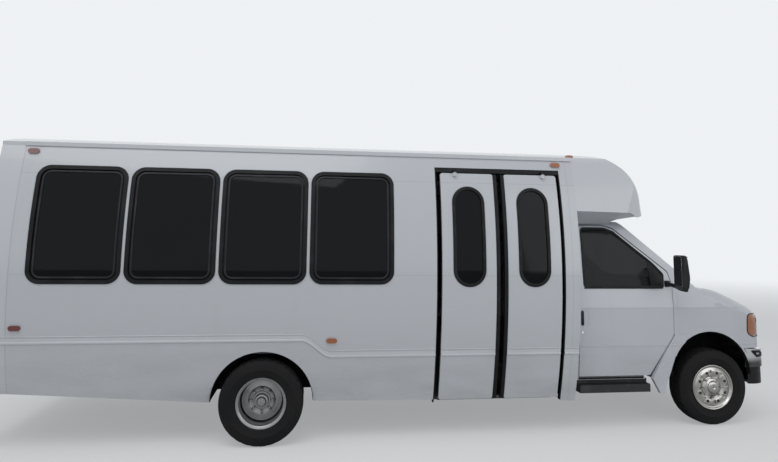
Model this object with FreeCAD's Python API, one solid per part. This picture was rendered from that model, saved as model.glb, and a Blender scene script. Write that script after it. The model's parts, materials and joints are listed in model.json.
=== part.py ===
"""Cutaway shuttle minibus: van cab and chassis with a barrel-sided passenger body.

Units are millimetres. Shapes are drawn with x = 0 at the front axle, +X forward, +Y to the
driver's left and +Z up from the road. save() moves them so that the origin is at the bottom
centre of the whole bus.
"""
import FreeCAD, Part
import math
import os
from functools import lru_cache

from FreeCAD import Vector

# Chassis
OVERALL_LENGTH = 7650.0
FRONT_OVERHANG = 750.0
WHEELBASE = 4470.0
TYRE_RADIUS = 372.0
TYRE_WIDTH = 222.0
RIM_RADIUS = 203.0
RIM_LIP = 17.0
RIM_WIDTH = 168.0
FRONT_TYRE_Y = 877.0
DUAL_OUTER_Y = 1080.0
DUAL_SPACING = 270.0
KINGPIN_Y = 740.0
KNUCKLE_HALF = 120.0
KNUCKLE_RADIUS = 34.0
RAIL_Y = 430.0
RAIL_TOP = 690.0
RAIL_HEIGHT = 165.0
RAIL_FLANGE = 70.0
RAIL_GAUGE = 8.0
RAIL_FRONT_X = 560.0

# Passenger body
BODY_WIDTH = 2438.0
BODY_HEIGHT = 2800.0
WAIST_Z = 1505.0
SIDE_RADIUS = 3870.0
GUTTER_DROP = 180.0
GUTTER_HEIGHT = 36.0
GUTTER_PROUD = 12.0
WALL = 45.0
BUMPER_DEPTH = 100.0
REAR_CAP_LENGTH = 195.0
BODY_FRONT_X = -1500.0
FLOOR_TOP = 840.0
FLOOR_THICK = 50.0
SKIRT_REAR_Z = 478.0
SKIRT_FRONT_Z = 338.0
ARCH_RADIUS = 455.0
ARCH_Z = 358.0

# Side windows
WINDOW_BOTTOM = 1418.0
WINDOW_DROP = 182.0
WINDOW_LENGTH = 755.0
WINDOW_PITCH = 797.0
WINDOW_INSET = 147.0
WINDOW_RADIUS = 110.0
WINDOWS_RIGHT = 4
WINDOWS_LEFT = 6
FRAME_WIDTH = 26.0
FRAME_PROUD = 7.0
GLASS = 6.0

# Entrance
ENTRY_REAR_X = -2901.0
ENTRY_FRONT_X = -1647.0
ENTRY_DROP = 100.0
LEAF_REAR_X = (-2849.0, -2326.0)
LEAF_FRONT_X = (-2219.0, -1686.0)
LEAF_BOTTOM = 335.0
LEAF_DROP = 55.0
LEAF_THICK = 32.0
LEAF_PIVOT_INSET = 140.0
LEAF_PIVOT_DEPTH = 99.0
PIN_RADIUS = 7.0
LEAF_GLASS_WIDTH = 300.0
LEAF_GLASS_BOTTOM = 1395.0
LEAF_GLASS_DROP = 137.0
STEP_COUNT = 2
STEPWELL_Y = -930.0
STEP_DEPTH = 232.0
STEP_PLATE = 25.0

# Cab
CAB_HALF = 1007.0
CAB_SHELL = 40.0
CAB_FLOOR = 740.0
SILL_Y = 870.0
CAB_SILL_Z = 470.0
BOARD_Z = (353.0, 428.0)
NOSE_SHELL = 22.0
FIREWALL_X = -331.0
PILLAR_FOOT_X = -134.0
COWL_Z = 1362.0
COWL_BOTTOM = 1332.0
WINDSHIELD_SLOPE = 1.169
WINDSHIELD_BULGE = 104.0
CAB_ROOF_HALF = 820.0
CAB_ROOF_Z = 2035.0
HOOD_HALF = 790.0
NOSE_X = 650.0
SHOULDER = 120.0
SEAM = 8.0
RUN = 0.3
DOOR_RUN = 5.0
LIP = 14.0
LIP_THICK = 12.0
FRONT_ARCH_RADIUS = 428.0
FRONT_ARCH_X = -30.0
FRONT_ARCH_Z = 500.0
DOOR_FRONT_X = -414.0
DOOR_REAR_X = -1430.0
DOOR_BOTTOM = 495.0
DOOR_THICK = 60.0
CAB_HINGE_X = -420.0
CAB_HINGE_Y = -1010.0

SHAFT_RADIUS = 42.0
FRONT_AXLE_X = OVERALL_LENGTH / 2 - FRONT_OVERHANG
REAR_AXLE_X = -WHEELBASE
REAR_END_X = FRONT_OVERHANG - OVERALL_LENGTH
REAR_WALL_X = REAR_END_X + BUMPER_DEPTH
REAR_SEAM_X = REAR_WALL_X + REAR_CAP_LENGTH
WINDOW_REAR_X = REAR_SEAM_X + WINDOW_INSET
GUTTER_Z = BODY_HEIGHT - GUTTER_DROP
WINDOW_TOP = GUTTER_Z - WINDOW_DROP
ENTRY_TOP = GUTTER_Z - ENTRY_DROP
LEAF_TOP = ENTRY_TOP - LEAF_DROP
LEAF_GLASS_TOP = LEAF_TOP - LEAF_GLASS_DROP
BODY_HALF = BODY_WIDTH / 2
FLOOR_BOTTOM = FLOOR_TOP - FLOOR_THICK


def save(node, *shapes):
    """Write one node, moved so that the origin is at the bottom centre of the bus."""
    solids = [s for shape in shapes for s in shape.Solids]
    shape = solids[0].copy() if len(solids) == 1 else Part.makeCompound([s.copy() for s in solids])
    shape.translate(Vector(FRONT_AXLE_X, 0, 0))
    shape.exportStep("parts/%s.step" % node)


def corner_wire(points, place):
    """Closed wire through (a, b) or (a, b, radius) corners, each corner rounded by its radius."""
    count = len(points)
    ends = []
    for i, point in enumerate(points):
        here = Vector(point[0], point[1], 0)
        radius = point[2] if len(point) > 2 else 0
        to_last = (Vector(*points[i - 1][:2], 0) - here).normalize()
        to_next = (Vector(*points[(i + 1) % count][:2], 0) - here).normalize()
        if radius == 0:
            ends.append((here, here, here))
            continue
        half = to_last.getAngle(to_next) / 2
        reach = radius / math.tan(half)
        middle = (to_last + to_next).normalize() * (radius / math.sin(half) - radius)
        ends.append((here + to_last * reach, here + middle, here + to_next * reach))
    edges = []
    for i, (start, middle, end) in enumerate(ends):
        if start.distanceToPoint(end) > 1e-6:
            edges.append(Part.Arc(place(start), place(middle), place(end)).toShape())
        following = ends[(i + 1) % count][0]
        if end.distanceToPoint(following) > 1e-6:
            edges.append(Part.LineSegment(place(end), place(following)).toShape())
    return Part.Wire(edges)


def prism_x(points, x0, x1):
    """Extrude a (y, z) outline from x0 to x1."""
    wire = corner_wire(points, lambda p: Vector(x0, p.x, p.y))
    return Part.Face(wire).extrude(Vector(x1 - x0, 0, 0))


def prism_y(points, y0, y1):
    """Extrude an (x, z) outline from y0 to y1."""
    wire = corner_wire(points, lambda p: Vector(p.x, y0, p.y))
    return Part.Face(wire).extrude(Vector(0, y1 - y0, 0))


def prism_z(points, z0, z1):
    """Extrude an (x, y) outline from z0 to z1."""
    wire = corner_wire(points, lambda p: Vector(p.x, p.y, z0))
    return Part.Face(wire).extrude(Vector(0, 0, z1 - z0))


def block(x0, x1, y0, y1, z0, z1):
    return Part.makeBox(x1 - x0, y1 - y0, z1 - z0, Vector(x0, y0, z0))


def rod(start, end, radius):
    """Solid cylinder between two points."""
    start = Vector(*start)
    along = Vector(*end) - start
    return Part.makeCylinder(radius, along.Length, start, along)


def fuse(shapes):
    whole = shapes[0].multiFuse(shapes[1:]) if len(shapes) > 1 else shapes[0]
    return whole.removeSplitter()


def cut(shape, *tools):
    return shape.cut(Part.makeCompound(list(tools)))


def mirror(shape):
    """The same shape on the other side of the bus."""
    return shape.mirror(Vector(0, 0, 0), Vector(0, 1, 0))


def both(shape):
    return Part.makeCompound([shape, mirror(shape)])


def side_y(z, depth=0.0):
    """Half width of the passenger body at height z, a depth below its skin."""
    radius = SIDE_RADIUS - depth
    return BODY_HALF - SIDE_RADIUS + math.sqrt(radius ** 2 - (z - WAIST_Z) ** 2)


def side_slab(z0, z1, x0, x1, outer, inner):
    """Slice of the curved right side wall between two depths below its outer skin."""
    centre = Vector(x0, SIDE_RADIUS - BODY_HALF, WAIST_Z)
    skin = Part.makeCylinder(SIDE_RADIUS - outer, x1 - x0, centre, Vector(1, 0, 0))
    back = Part.makeCylinder(SIDE_RADIUS - inner, x1 - x0, centre, Vector(1, 0, 0))
    return skin.cut(back).common(block(x0, x1, -BODY_HALF - 100, -600, z0, z1))


def roof_section(depth, foot):
    """Closed (y, z) crown section in the x = 0 plane, set in by a depth, down to z = foot."""
    edge = side_y(GUTTER_Z, depth)
    rise = GUTTER_Z + GUTTER_HEIGHT - depth
    top = BODY_HEIGHT - depth
    crown = Part.Arc(Vector(0, -edge, rise), Vector(0, 0, top), Vector(0, edge, rise)).toShape()
    corners = [Vector(0, edge, rise), Vector(0, edge, foot), Vector(0, -edge, foot),
               Vector(0, -edge, rise)]
    lines = [Part.LineSegment(a, b).toShape() for a, b in zip(corners, corners[1:])]
    return Part.Wire([crown] + lines)


def roof_prism(depth, foot, x0, x1):
    face = Part.Face(roof_section(depth, foot))
    face.translate(Vector(x0, 0, 0))
    return face.extrude(Vector(x1 - x0, 0, 0))


def window_prism(x0, x1, z0, z1, radius, grow=0.0):
    """Rounded window outline cut through the right wall."""
    x0, x1, z0, z1, radius = x0 - grow, x1 + grow, z0 - grow, z1 + grow, radius + grow
    outline = [(x0, z0, radius), (x1, z0, radius), (x1, z1, radius), (x0, z1, radius)]
    return prism_y(outline, -BODY_HALF - 60, -600)


def window_spans(count):
    """Start and end x of each side window, from the rear forward."""
    starts = [WINDOW_REAR_X + i * WINDOW_PITCH for i in range(count)]
    return [(x, x + WINDOW_LENGTH) for x in starts]


def skirt_outline():
    """(x, z) outline of the side wall, with its sloping skirt."""
    return [(REAR_SEAM_X, SKIRT_REAR_Z), (-4950, 362), (-4020, 354), (ENTRY_REAR_X, SKIRT_FRONT_Z),
            (ENTRY_FRONT_X, 300), (BODY_FRONT_X, 290), (BODY_FRONT_X, GUTTER_Z),
            (REAR_SEAM_X, GUTTER_Z)]


def side_wall(window_count, with_entry):
    """Side wall drawn on the right; the left one is mirrored."""
    wall = side_slab(280, GUTTER_Z, REAR_SEAM_X, BODY_FRONT_X, 0, WALL)
    wall = wall.common(prism_y(skirt_outline(), -BODY_HALF - 60, -600))
    cuts = [window_prism(x0, x1, WINDOW_BOTTOM, WINDOW_TOP, WINDOW_RADIUS)
            for x0, x1 in window_spans(window_count)]
    arch = Part.makeCylinder(ARCH_RADIUS, 800, Vector(REAR_AXLE_X, -BODY_HALF - 60, ARCH_Z),
                             Vector(0, 1, 0))
    cuts.append(arch)
    cuts.append(block(REAR_AXLE_X - ARCH_RADIUS, REAR_AXLE_X + ARCH_RADIUS, -1300, -600, 0, ARCH_Z))
    if with_entry:
        cuts.append(block(ENTRY_REAR_X, ENTRY_FRONT_X, -1300, -600, 0, ENTRY_TOP))
    return cut(wall, *cuts)


def window_frame(x0, x1, z0, z1, radius, depth):
    """Black ring that stands proud of the wall and lines the window cut."""
    ring = side_slab(z0 - 60, z1 + 60, x0 - 60, x1 + 60, -FRAME_PROUD, depth)
    inside = window_prism(x0, x1, z0, z1, radius, -FRAME_WIDTH)
    hole = ring.common(window_prism(x0, x1, z0, z1, radius)).cut(inside)
    lip = side_slab(z0 - 60, z1 + 60, x0 - 60, x1 + 60, -FRAME_PROUD, 0)
    lip = lip.common(window_prism(x0, x1, z0, z1, radius, 8)).cut(inside)
    return fuse([hole, lip])


def window_pane(x0, x1, z0, z1, radius):
    pane = side_slab(z0 - 60, z1 + 60, x0 - 60, x1 + 60, 8, 8 + GLASS)
    return pane.common(window_prism(x0, x1, z0, z1, radius, -FRAME_WIDTH))


def side_glazing(count):
    spans = window_spans(count)
    frames = [window_frame(x0, x1, WINDOW_BOTTOM, WINDOW_TOP, WINDOW_RADIUS, WALL)
              for x0, x1 in spans]
    panes = [window_pane(x0, x1, WINDOW_BOTTOM, WINDOW_TOP, WINDOW_RADIUS) for x0, x1 in spans]
    return frames, panes


def roof():
    shell = roof_prism(-GUTTER_PROUD, GUTTER_Z, REAR_SEAM_X, BODY_FRONT_X)
    crown = roof_prism(0, GUTTER_Z, REAR_SEAM_X, BODY_FRONT_X)
    rail = shell.common(block(REAR_SEAM_X, BODY_FRONT_X, -1300, 1300, GUTTER_Z,
                              GUTTER_Z + GUTTER_HEIGHT))
    outer = fuse([crown, rail])
    return cut(outer, roof_prism(WALL, GUTTER_Z - 100, REAR_SEAM_X - 10, BODY_FRONT_X + 10))


# Rear cap and its emergency door
REAR_CORNER = 150.0
REAR_DOOR_HALF = 420.0
REAR_DOOR_TOP = BODY_HEIGHT - 380
REAR_DOOR_BOTTOM = 860.0
PLATE_Y = 760.0
PLATE_Z = 900.0
PLATE_SPACING = (178.0, 121.0)
PLATE_HOLE = 3.5


@lru_cache
def body_solid(depth, x0, x1, foot):
    """Solid of the whole body section, set in by a depth."""
    right = side_slab(foot, GUTTER_Z, x0, x1, depth, 400)
    middle = block(x0, x1, -side_y(GUTTER_Z) + 300, side_y(GUTTER_Z) - 300, foot, GUTTER_Z)
    top = roof_prism(depth, GUTTER_Z - 1, x0, x1)
    return fuse([right, mirror(right), middle, top])


def rear_plan(depth):
    """(x, y) outline of the rear end, with rounded corners."""
    x0, half = REAR_WALL_X + depth, BODY_HALF + 40
    corner = REAR_CORNER + 30
    return [(x0, -half + 60, corner), (x0, half - 60, corner), (REAR_SEAM_X + 10, half),
            (REAR_SEAM_X + 10, -half)]


def rear_side(depth):
    """(x, z) outline of the rear end, with its rounded roof edge."""
    x0, top = REAR_WALL_X + depth, BODY_HEIGHT + 5 - depth
    return [(x0, 400), (REAR_SEAM_X + 10, 400), (REAR_SEAM_X + 10, top), (x0, top, 130)]


def rear_shape(depth, x_front):
    solid = body_solid(depth, REAR_WALL_X - 10, x_front, SKIRT_REAR_Z)
    solid = solid.common(prism_z(rear_plan(depth), 400, BODY_HEIGHT + 100))
    return solid.common(prism_y(rear_side(depth), -1300, 1300))


def rear_door_outline(gap):
    half = REAR_DOOR_HALF - gap
    z0, z1 = REAR_DOOR_BOTTOM + gap, REAR_DOOR_TOP - gap
    return [(-half, z0, 40), (half, z0, 40), (half, z1, 90), (-half, z1, 90)]


def plate_holes():
    """Four screw holes for the rear plate."""
    holes = []
    for side in (-1, 1):
        for level in (-1, 1):
            at = Vector(REAR_WALL_X - 5, PLATE_Y + side * PLATE_SPACING[0] / 2,
                        PLATE_Z + level * PLATE_SPACING[1] / 2)
            holes.append(Part.makeCylinder(PLATE_HOLE, WALL + 20, at, Vector(1, 0, 0)))
    return holes


def rear_cap():
    shell = rear_shape(0, REAR_SEAM_X).cut(rear_shape(WALL, REAR_SEAM_X + 10))
    floor_line = block(REAR_WALL_X + WALL, REAR_SEAM_X + 10, -1300, 1300, 400, SKIRT_REAR_Z + 1)
    opening = prism_x(rear_door_outline(0), REAR_WALL_X - 20, REAR_WALL_X + WALL + 40)
    shell = cut(shell, floor_line, opening, *plate_holes())
    inside = REAR_WALL_X + WALL
    around = prism_x(rear_door_outline(-30), inside - 5, inside + LIP_THICK)
    lip = around.cut(prism_x(rear_door_outline(SEAM + LIP), inside - 10, inside + LIP_THICK + 10))
    lip = lip.cut(prism_x(rear_door_outline(0), inside - 10, inside + RUN))
    return fuse([shell, lip])


REAR_GLASS_HALF = 300.0
REAR_GLASS_Z = (1500.0, REAR_DOOR_TOP - 170)


def rear_glass_outline(grow):
    half = REAR_GLASS_HALF + grow
    z0, z1 = REAR_GLASS_Z[0] - grow, REAR_GLASS_Z[1] + grow
    return [(-half, z0, 70), (half, z0, 70), (half, z1, 70), (-half, z1, 70)]


def rear_door():
    slab = prism_x(rear_door_outline(SEAM), REAR_WALL_X, REAR_WALL_X + WALL)
    return slab.cut(prism_x(rear_glass_outline(0), REAR_WALL_X - 10, REAR_WALL_X + WALL + 10))


def rear_door_glass():
    return prism_x(rear_glass_outline(0), REAR_WALL_X + 10, REAR_WALL_X + 10 + GLASS)


# Entrance door
LEAF_CORNER = 25.0


def leaf_outline(span):
    x0, x1 = span
    return [(x0, LEAF_BOTTOM, LEAF_CORNER), (x1, LEAF_BOTTOM, LEAF_CORNER),
            (x1, LEAF_TOP, LEAF_CORNER), (x0, LEAF_TOP, LEAF_CORNER)]


def leaf_window(span, grow=0.0):
    """Tall window with fully round ends, nearer the hinge edge in each leaf."""
    middle = sum(span) / 2
    half = LEAF_GLASS_WIDTH / 2
    return window_prism(middle - half, middle + half, LEAF_GLASS_BOTTOM, LEAF_GLASS_TOP,
                        half - 1, grow)


def entry_leaf(span):
    slab = side_slab(LEAF_BOTTOM - 10, LEAF_TOP + 10, span[0] - 5, span[1] + 5, 0, LEAF_THICK)
    slab = slab.common(prism_y(leaf_outline(span), -1300, -600))
    bracket = pivot_bracket(span, LEAF_TOP - 30, LEAF_TOP + 4, -side_y(LEAF_TOP) + 20)
    return fuse([slab.cut(leaf_window(span)), bracket, pivot_pin(span, PIN_RADIUS)])


def entry_glass(span):
    pane = side_slab(LEAF_BOTTOM - 10, LEAF_TOP + 10, span[0] - 5, span[1] + 5, 6, 6 + GLASS)
    return pane.common(leaf_window(span))


def pivot_x(span):
    """x of a leaf's pivot, set in from its jamb edge."""
    if span == LEAF_REAR_X:
        return span[0] + LEAF_PIVOT_INSET
    return span[1] - LEAF_PIVOT_INSET


def pivot_bracket(span, z0, z1, y_inner):
    """Small steel bracket around a leaf's pivot line."""
    x, y = pivot_x(span), -BODY_HALF + LEAF_PIVOT_DEPTH
    y_outer = min(y - 12, y_inner - 24)
    return block(x - 16, x + 16, y_outer, max(y + 12, y_inner), z0, z1)


def pivot_pin(span, radius):
    x, y = pivot_x(span), -BODY_HALF + LEAF_PIVOT_DEPTH
    return rod((x, y, LEAF_TOP), (x, y, LEAF_TOP + 30), radius)


def entry_frame():
    """Black surround between the wall cut and the leaves: two jambs and a head."""
    def ring(outer, inner):
        return side_slab(SKIRT_FRONT_Z - 30, ENTRY_TOP, ENTRY_REAR_X, ENTRY_FRONT_X, outer, inner)

    rear = ring(4, WALL).common(block(ENTRY_REAR_X, ENTRY_REAR_X + 10, -1300, -600, 0, ENTRY_TOP))
    front = ring(4, WALL).common(block(ENTRY_FRONT_X - 10, ENTRY_FRONT_X, -1300, -600, 0, ENTRY_TOP))
    head = ring(4, WALL).common(block(ENTRY_REAR_X, ENTRY_FRONT_X, -1300, -600, LEAF_TOP + 10,
                                      ENTRY_TOP))
    eyes = [pivot_bracket(span, LEAF_TOP + 12, LEAF_TOP + 30, -side_y(LEAF_TOP) + 25)
            for span in (LEAF_REAR_X, LEAF_FRONT_X)]
    frame = fuse([rear, front, head] + eyes)
    return cut(frame, *[pivot_pin(span, PIN_RADIUS + RUN) for span in (LEAF_REAR_X, LEAF_FRONT_X)])


def stepwell():
    """Treads that climb from the doorway to the floor, with closed risers and ends."""
    rise = (FLOOR_TOP - LEAF_BOTTOM) / STEP_COUNT
    x0, x1 = ENTRY_REAR_X + 20, ENTRY_FRONT_X - 20
    outline = [(STEPWELL_Y, LEAF_BOTTOM)]
    for i in range(1, STEP_COUNT):
        y, z = STEPWELL_Y + STEP_DEPTH * i, LEAF_BOTTOM + rise * (i - 1)
        outline += [(y, z), (y, z + rise)]
    last = STEPWELL_Y + STEP_DEPTH * STEP_COUNT
    top = outline[-1][1]
    outline += [(last, top), (last, FLOOR_BOTTOM), (last + STEP_PLATE, FLOOR_BOTTOM),
                (last + STEP_PLATE, top - STEP_PLATE)]
    for i in range(STEP_COUNT - 1, 0, -1):
        y, z = STEPWELL_Y + STEP_DEPTH * i + STEP_PLATE, LEAF_BOTTOM + rise * i - STEP_PLATE
        outline += [(y, z), (y, z - rise)]
    outline += [(STEPWELL_Y, LEAF_BOTTOM - STEP_PLATE)]
    steps = prism_x(outline, x0, x1)
    ends = []
    for x in (x0 - STEP_PLATE, x1):
        ends.append(block(x, x + STEP_PLATE, STEPWELL_Y, last + STEP_PLATE,
                          LEAF_BOTTOM - STEP_PLATE, FLOOR_BOTTOM))
    return fuse([steps] + ends)


def well_box():
    """Space that the floor leaves open above the steps."""
    last = STEPWELL_Y + STEP_DEPTH * STEP_COUNT
    return block(ENTRY_REAR_X + 20, ENTRY_FRONT_X - 20, -1300, last, 0, FLOOR_TOP + 10)


def floor():
    """Floor slab, open above the steps."""
    half = side_y(FLOOR_BOTTOM, WALL)
    slab = block(REAR_WALL_X + WALL, BODY_FRONT_X, -half, half, FLOOR_BOTTOM, FLOOR_TOP)
    clear = block(REAR_AXLE_X - 420, REAR_AXLE_X + 420, -1300, -600, 0, FLOOR_BOTTOM)
    return cut(slab, well_box(), clear, mirror(clear), rear_cap())


SILL_COUNT = 9
SILL_PITCH = 560.0
SILL_HALF = 900.0


def floor_sills():
    """Cross sills between the chassis rails and the floor, cut short beside the steps."""
    well_end = STEPWELL_Y + STEP_DEPTH * STEP_COUNT + STEP_PLATE + 5
    well = block(ENTRY_REAR_X - 10, ENTRY_FRONT_X + 10, -1300, well_end, 0, FLOOR_BOTTOM)
    sills = []
    for i in range(SILL_COUNT):
        x = REAR_SEAM_X + 150 + i * SILL_PITCH
        over_axle = abs(x - REAR_AXLE_X) < TYRE_RADIUS + 60
        half = RAIL_Y + 60 if over_axle else SILL_HALF
        sills.append(block(x, x + 60, -half, half, RAIL_TOP, FLOOR_BOTTOM).cut(well))
    return sills


# Cab
def flank(depth):
    """(y, z) points of the cab's right side, from the sill up to the belt."""
    half = CAB_HALF - depth
    return [(half - 42, CAB_SILL_Z + depth), (half - 7, 800), (half, 1170), (half - 14, 1380)]


def cab_section(depth):
    """(y, z) outline of the cab, upright below the belt and leaning in above it."""
    right = flank(depth) + [(CAB_ROOF_HALF - depth, CAB_ROOF_Z - depth, 110)]
    return right + [(-p[0],) + p[1:] for p in reversed(right)]


def windshield_x(z, depth):
    """x of the windshield plane beside the pillars at height z."""
    return PILLAR_FOOT_X - depth * 1.5 - (z - COWL_Z) * WINDSHIELD_SLOPE


def cab_side(depth):
    """(x, z) outline of the cab behind the firewall, and of the upper cab above the cowl."""
    d = depth
    top = CAB_ROOF_Z - d
    return [(BODY_FRONT_X, CAB_SILL_Z + d), (FIREWALL_X - d, CAB_SILL_Z + d), (FIREWALL_X - d, COWL_BOTTOM + d),
            (50, COWL_BOTTOM + d), (50, top), (BODY_FRONT_X, top)]


def windshield_sweep(depth):
    """Everything behind the curved windshield, as a plan outline swept up its slope."""
    below, above = 1200.0, 800.0
    foot = windshield_x(COWL_Z, depth) + below * WINDSHIELD_SLOPE
    edge, z0 = 950.0, COWL_Z - below
    front = Part.Arc(Vector(foot, -edge, z0), Vector(foot + WINDSHIELD_BULGE, 0, z0),
                     Vector(foot, edge, z0)).toShape()
    corners = [Vector(foot, edge, z0), Vector(foot - 60, 1100, z0), Vector(-2500, 1100, z0),
               Vector(-2500, -1100, z0), Vector(foot - 60, -1100, z0), Vector(foot, -edge, z0)]
    lines = [Part.LineSegment(a, b).toShape() for a, b in zip(corners, corners[1:])]
    rise = below + above
    return Part.Face(Part.Wire([front] + lines)).extrude(Vector(-rise * WINDSHIELD_SLOPE, 0, rise))


@lru_cache
def cab_solid(depth, x_rear=BODY_FRONT_X):
    outer = prism_x(cab_section(depth), x_rear, 60)
    return outer.common(prism_y(cab_side(depth), -1300, 1300)).common(windshield_sweep(depth))


def nose_side(depth):
    """(x, z) outline of the nose: level at the cowl, then falling to a blunt front."""
    d = depth
    return [(FIREWALL_X - 40, 560), (NOSE_X - d, 560), (NOSE_X - d, 1010 - d, 90 - d),
            (520 - d * 0.6, 1160 - d, 260), (60, 1352 - d, 500), (FIREWALL_X - 40, COWL_Z + 4 - d)]


def nose_plan(depth):
    """(x, y) outline of the nose, with rounded front corners."""
    d = depth
    right = [(FIREWALL_X - 40, -CAB_HALF + d), (250, -CAB_HALF + 4 + d, 300),
             (575 - d, -935 + d, 175), (NOSE_X + 5 - d, -690, 240)]
    return right + [(p[0], -p[1]) + p[2:] for p in reversed(right)]


def top_edges(shape, z_min, x_min):
    """Edges along a shape's shoulders, where its top meets its sides."""
    picked = []
    for edge in shape.Edges:
        at = (edge.FirstParameter + edge.LastParameter) / 2
        point = edge.valueAt(at)
        if edge.BoundBox.ZMax < z_min or abs(point.y) < 400 or point.x < x_min:
            continue
        faces = shape.ancestorsOfType(edge, Part.Face)
        normals = [f.normalAt(*f.Surface.parameter(point)) for f in faces]
        if len(normals) == 2 and normals[0].getAngle(normals[1]) > 0.5:
            picked.append(edge)
    return picked


@lru_cache
def nose_solid(depth):
    """Hood and fender mass with rounded shoulders, and the pillar roots behind them."""
    mass = prism_y(nose_side(depth), -1300, 1300).common(prism_z(nose_plan(depth), 500, 1600))
    mass = mass.makeFillet(SHOULDER - depth, top_edges(mass, 1030, FIREWALL_X + 5))
    sides = [(CAB_HALF - 42 - depth, CAB_SILL_Z)] + flank(depth)[1:]
    section = sides + [(-p[0],) + p[1:] for p in reversed(sides)]
    root = prism_x(cab_section(depth), FIREWALL_X - 40, 100).common(windshield_sweep(depth))
    root = root.common(block(FIREWALL_X - 40, 100, -1300, 1300, 900, COWL_BOTTOM - depth))
    return fuse([mass.common(prism_x(section, FIREWALL_X - 40, NOSE_X + 10)), root])


def door_outline(gap):
    """(x, z) outline of the cab door seam, set in by the shut gap."""
    g = gap
    return [(DOOR_FRONT_X - g, 1250, 0), (DOOR_FRONT_X - g, 900, 80), (-500 - g, 770, 60),
            (-670 - g, DOOR_BOTTOM + g, 30), (DOOR_REAR_X + g, DOOR_BOTTOM + g, 0),
            (DOOR_REAR_X + g, 1998 - g, 0), (-1075, 1998 - g, 60),
            (-960 - g, 1965 - g, 60), (-440 - g, 1530 - g, 60), (DOOR_FRONT_X - g, 1400, 0)]


def door_space(gap):
    """Opening of the right cab door, kept within the circle that its rear edge swings on."""
    reach = CAB_HINGE_X - DOOR_REAR_X - gap
    swing = Part.makeCylinder(reach, 2000, Vector(CAB_HINGE_X, CAB_HINGE_Y, 300))
    return prism_y(door_outline(gap), -1300, -500).common(swing)


CAB_WINDOW = [(-1318, 1965, 40), (-1060, 1965, 60), (-965, 1930, 60), (-590, 1612, 60),
              (-492, 1500, 30), (-515, 1366, 20), (-1362, 1366, 30), (-1340, 1750, 500)]


def cab_window():
    return prism_y(CAB_WINDOW, -1300, 0)


def cab_door(gap):
    return cab_skin(0, DOOR_THICK).common(door_space(gap))


def cab_skin(outer, inner):
    """Layer of the cab's side, between two depths below its skin."""
    skin = prism_x(cab_section(outer), BODY_FRONT_X, 0)
    return skin.cut(prism_x(cab_section(inner), BODY_FRONT_X - 10, 10))


def cab_pane():
    return cab_skin(10, 10 + GLASS).common(prism_y(CAB_WINDOW, -1300, -500))


def windshield_box(grow):
    """(y, z) outline of the windshield as seen from the front."""
    g = grow
    return [(-860 - g, 1400 - g, 60), (860 + g, 1400 - g, 60), (760 + g, 1975 + g, 60),
            (-760 - g, 1975 + g, 60)]


def door_lip():
    """Seal lip behind the right door's edge, a running gap from its inner face."""
    around = door_space(-LIP).cut(door_space(0))
    behind = door_space(0).cut(door_space(SEAM + LIP))
    back = DOOR_THICK + LIP_THICK
    return fuse([cab_skin(NOSE_SHELL + 4, back).common(around),
                 cab_skin(DOOR_THICK + RUN, back).common(behind)])


@lru_cache
def cab_shell():
    shell = cab_solid(0).cut(cab_solid(CAB_SHELL, BODY_FRONT_X - 10))
    door_cut = door_space(0)
    glass_cut = prism_x(windshield_box(0), -1000, 100)
    under = block(BODY_FRONT_X - 10, 10, -SILL_Y, SILL_Y, 300, CAB_FLOOR - CAB_SHELL)
    front = block(FIREWALL_X - 400, 10, -1300, 1300, 300, CAB_FLOOR - CAB_SHELL)
    skirts = prism_y([(DOOR_FRONT_X, COWL_Z), (DOOR_FRONT_X, 900, 80), (-500, 770, 60),
                      (-670, 460), (FIREWALL_X + 1, 460), (FIREWALL_X + 1, COWL_Z)], -1300, 1300)
    skirts = skirts.cut(block(-2000, 100, -900, 900, 0, 1500))
    shell = cut(shell, door_cut, mirror(door_cut), glass_cut, under, front, skirts)
    pan = block(BODY_FRONT_X, FIREWALL_X - CAB_SHELL, -900, 900, CAB_FLOOR - CAB_SHELL, CAB_FLOOR)
    lip = door_lip()
    return cut(fuse([shell, pan, lip, mirror(lip)]), tunnel(0), both(fender()))


TUNNEL_REAR_X = -820.0


def tunnel(depth):
    """Engine tunnel through the cab floor and firewall."""
    d = depth
    outline = [(-400 + d, 400), (400 - d, 400), (340 - d, 1010 - d, 90), (-340 + d, 1010 - d, 90)]
    return prism_x(outline, TUNNEL_REAR_X + d, FIREWALL_X + 10)


def engine_cover():
    cover = tunnel(0).cut(tunnel(15))
    return cover.common(block(-1000, FIREWALL_X, -600, 600, CAB_FLOOR - CAB_SHELL, 1200))


def engine_block():
    """One plain block for the engine, and the gearbox behind it."""
    front = block(FIREWALL_X + 20, 330, -300, 300, 560, 1120)
    rear = block(TUNNEL_REAR_X + 30, FIREWALL_X + 20, -290, 290, 560, 960)
    gearbox = block(-1450, TUNNEL_REAR_X + 30, -150, 150, 500, CAB_FLOOR - CAB_SHELL - 10)
    return fuse([front, rear, gearbox])


DASH_REAR_X = -620.0


def dashboard():
    body = prism_y([(FIREWALL_X - CAB_SHELL, 980), (DASH_REAR_X + 60, 980, 30),
                    (DASH_REAR_X, 1120, 40), (DASH_REAR_X + 60, 1310, 60),
                    (FIREWALL_X - CAB_SHELL, 1360)], -925, 925)
    return cut(body.common(cab_solid(DOOR_THICK + 4)), tunnel(0), cab_shell())


WHEEL_Y = 460.0


def steering_wheel():
    """Steering wheel with its column, which meets the dashboard."""
    axis = Vector(-0.9, 0, 0.44)
    centre = Vector(-690, WHEEL_Y, 1230)
    ring = Part.makeTorus(185, 14, centre, axis)
    column = rod((DASH_REAR_X + 60, WHEEL_Y, 1167), tuple(centre), 24)
    spokes = [rod((centre.x, WHEEL_Y - 185, centre.z), (centre.x, WHEEL_Y + 185, centre.z), 10)]
    return cut(fuse([ring, column] + spokes), dashboard())


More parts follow.
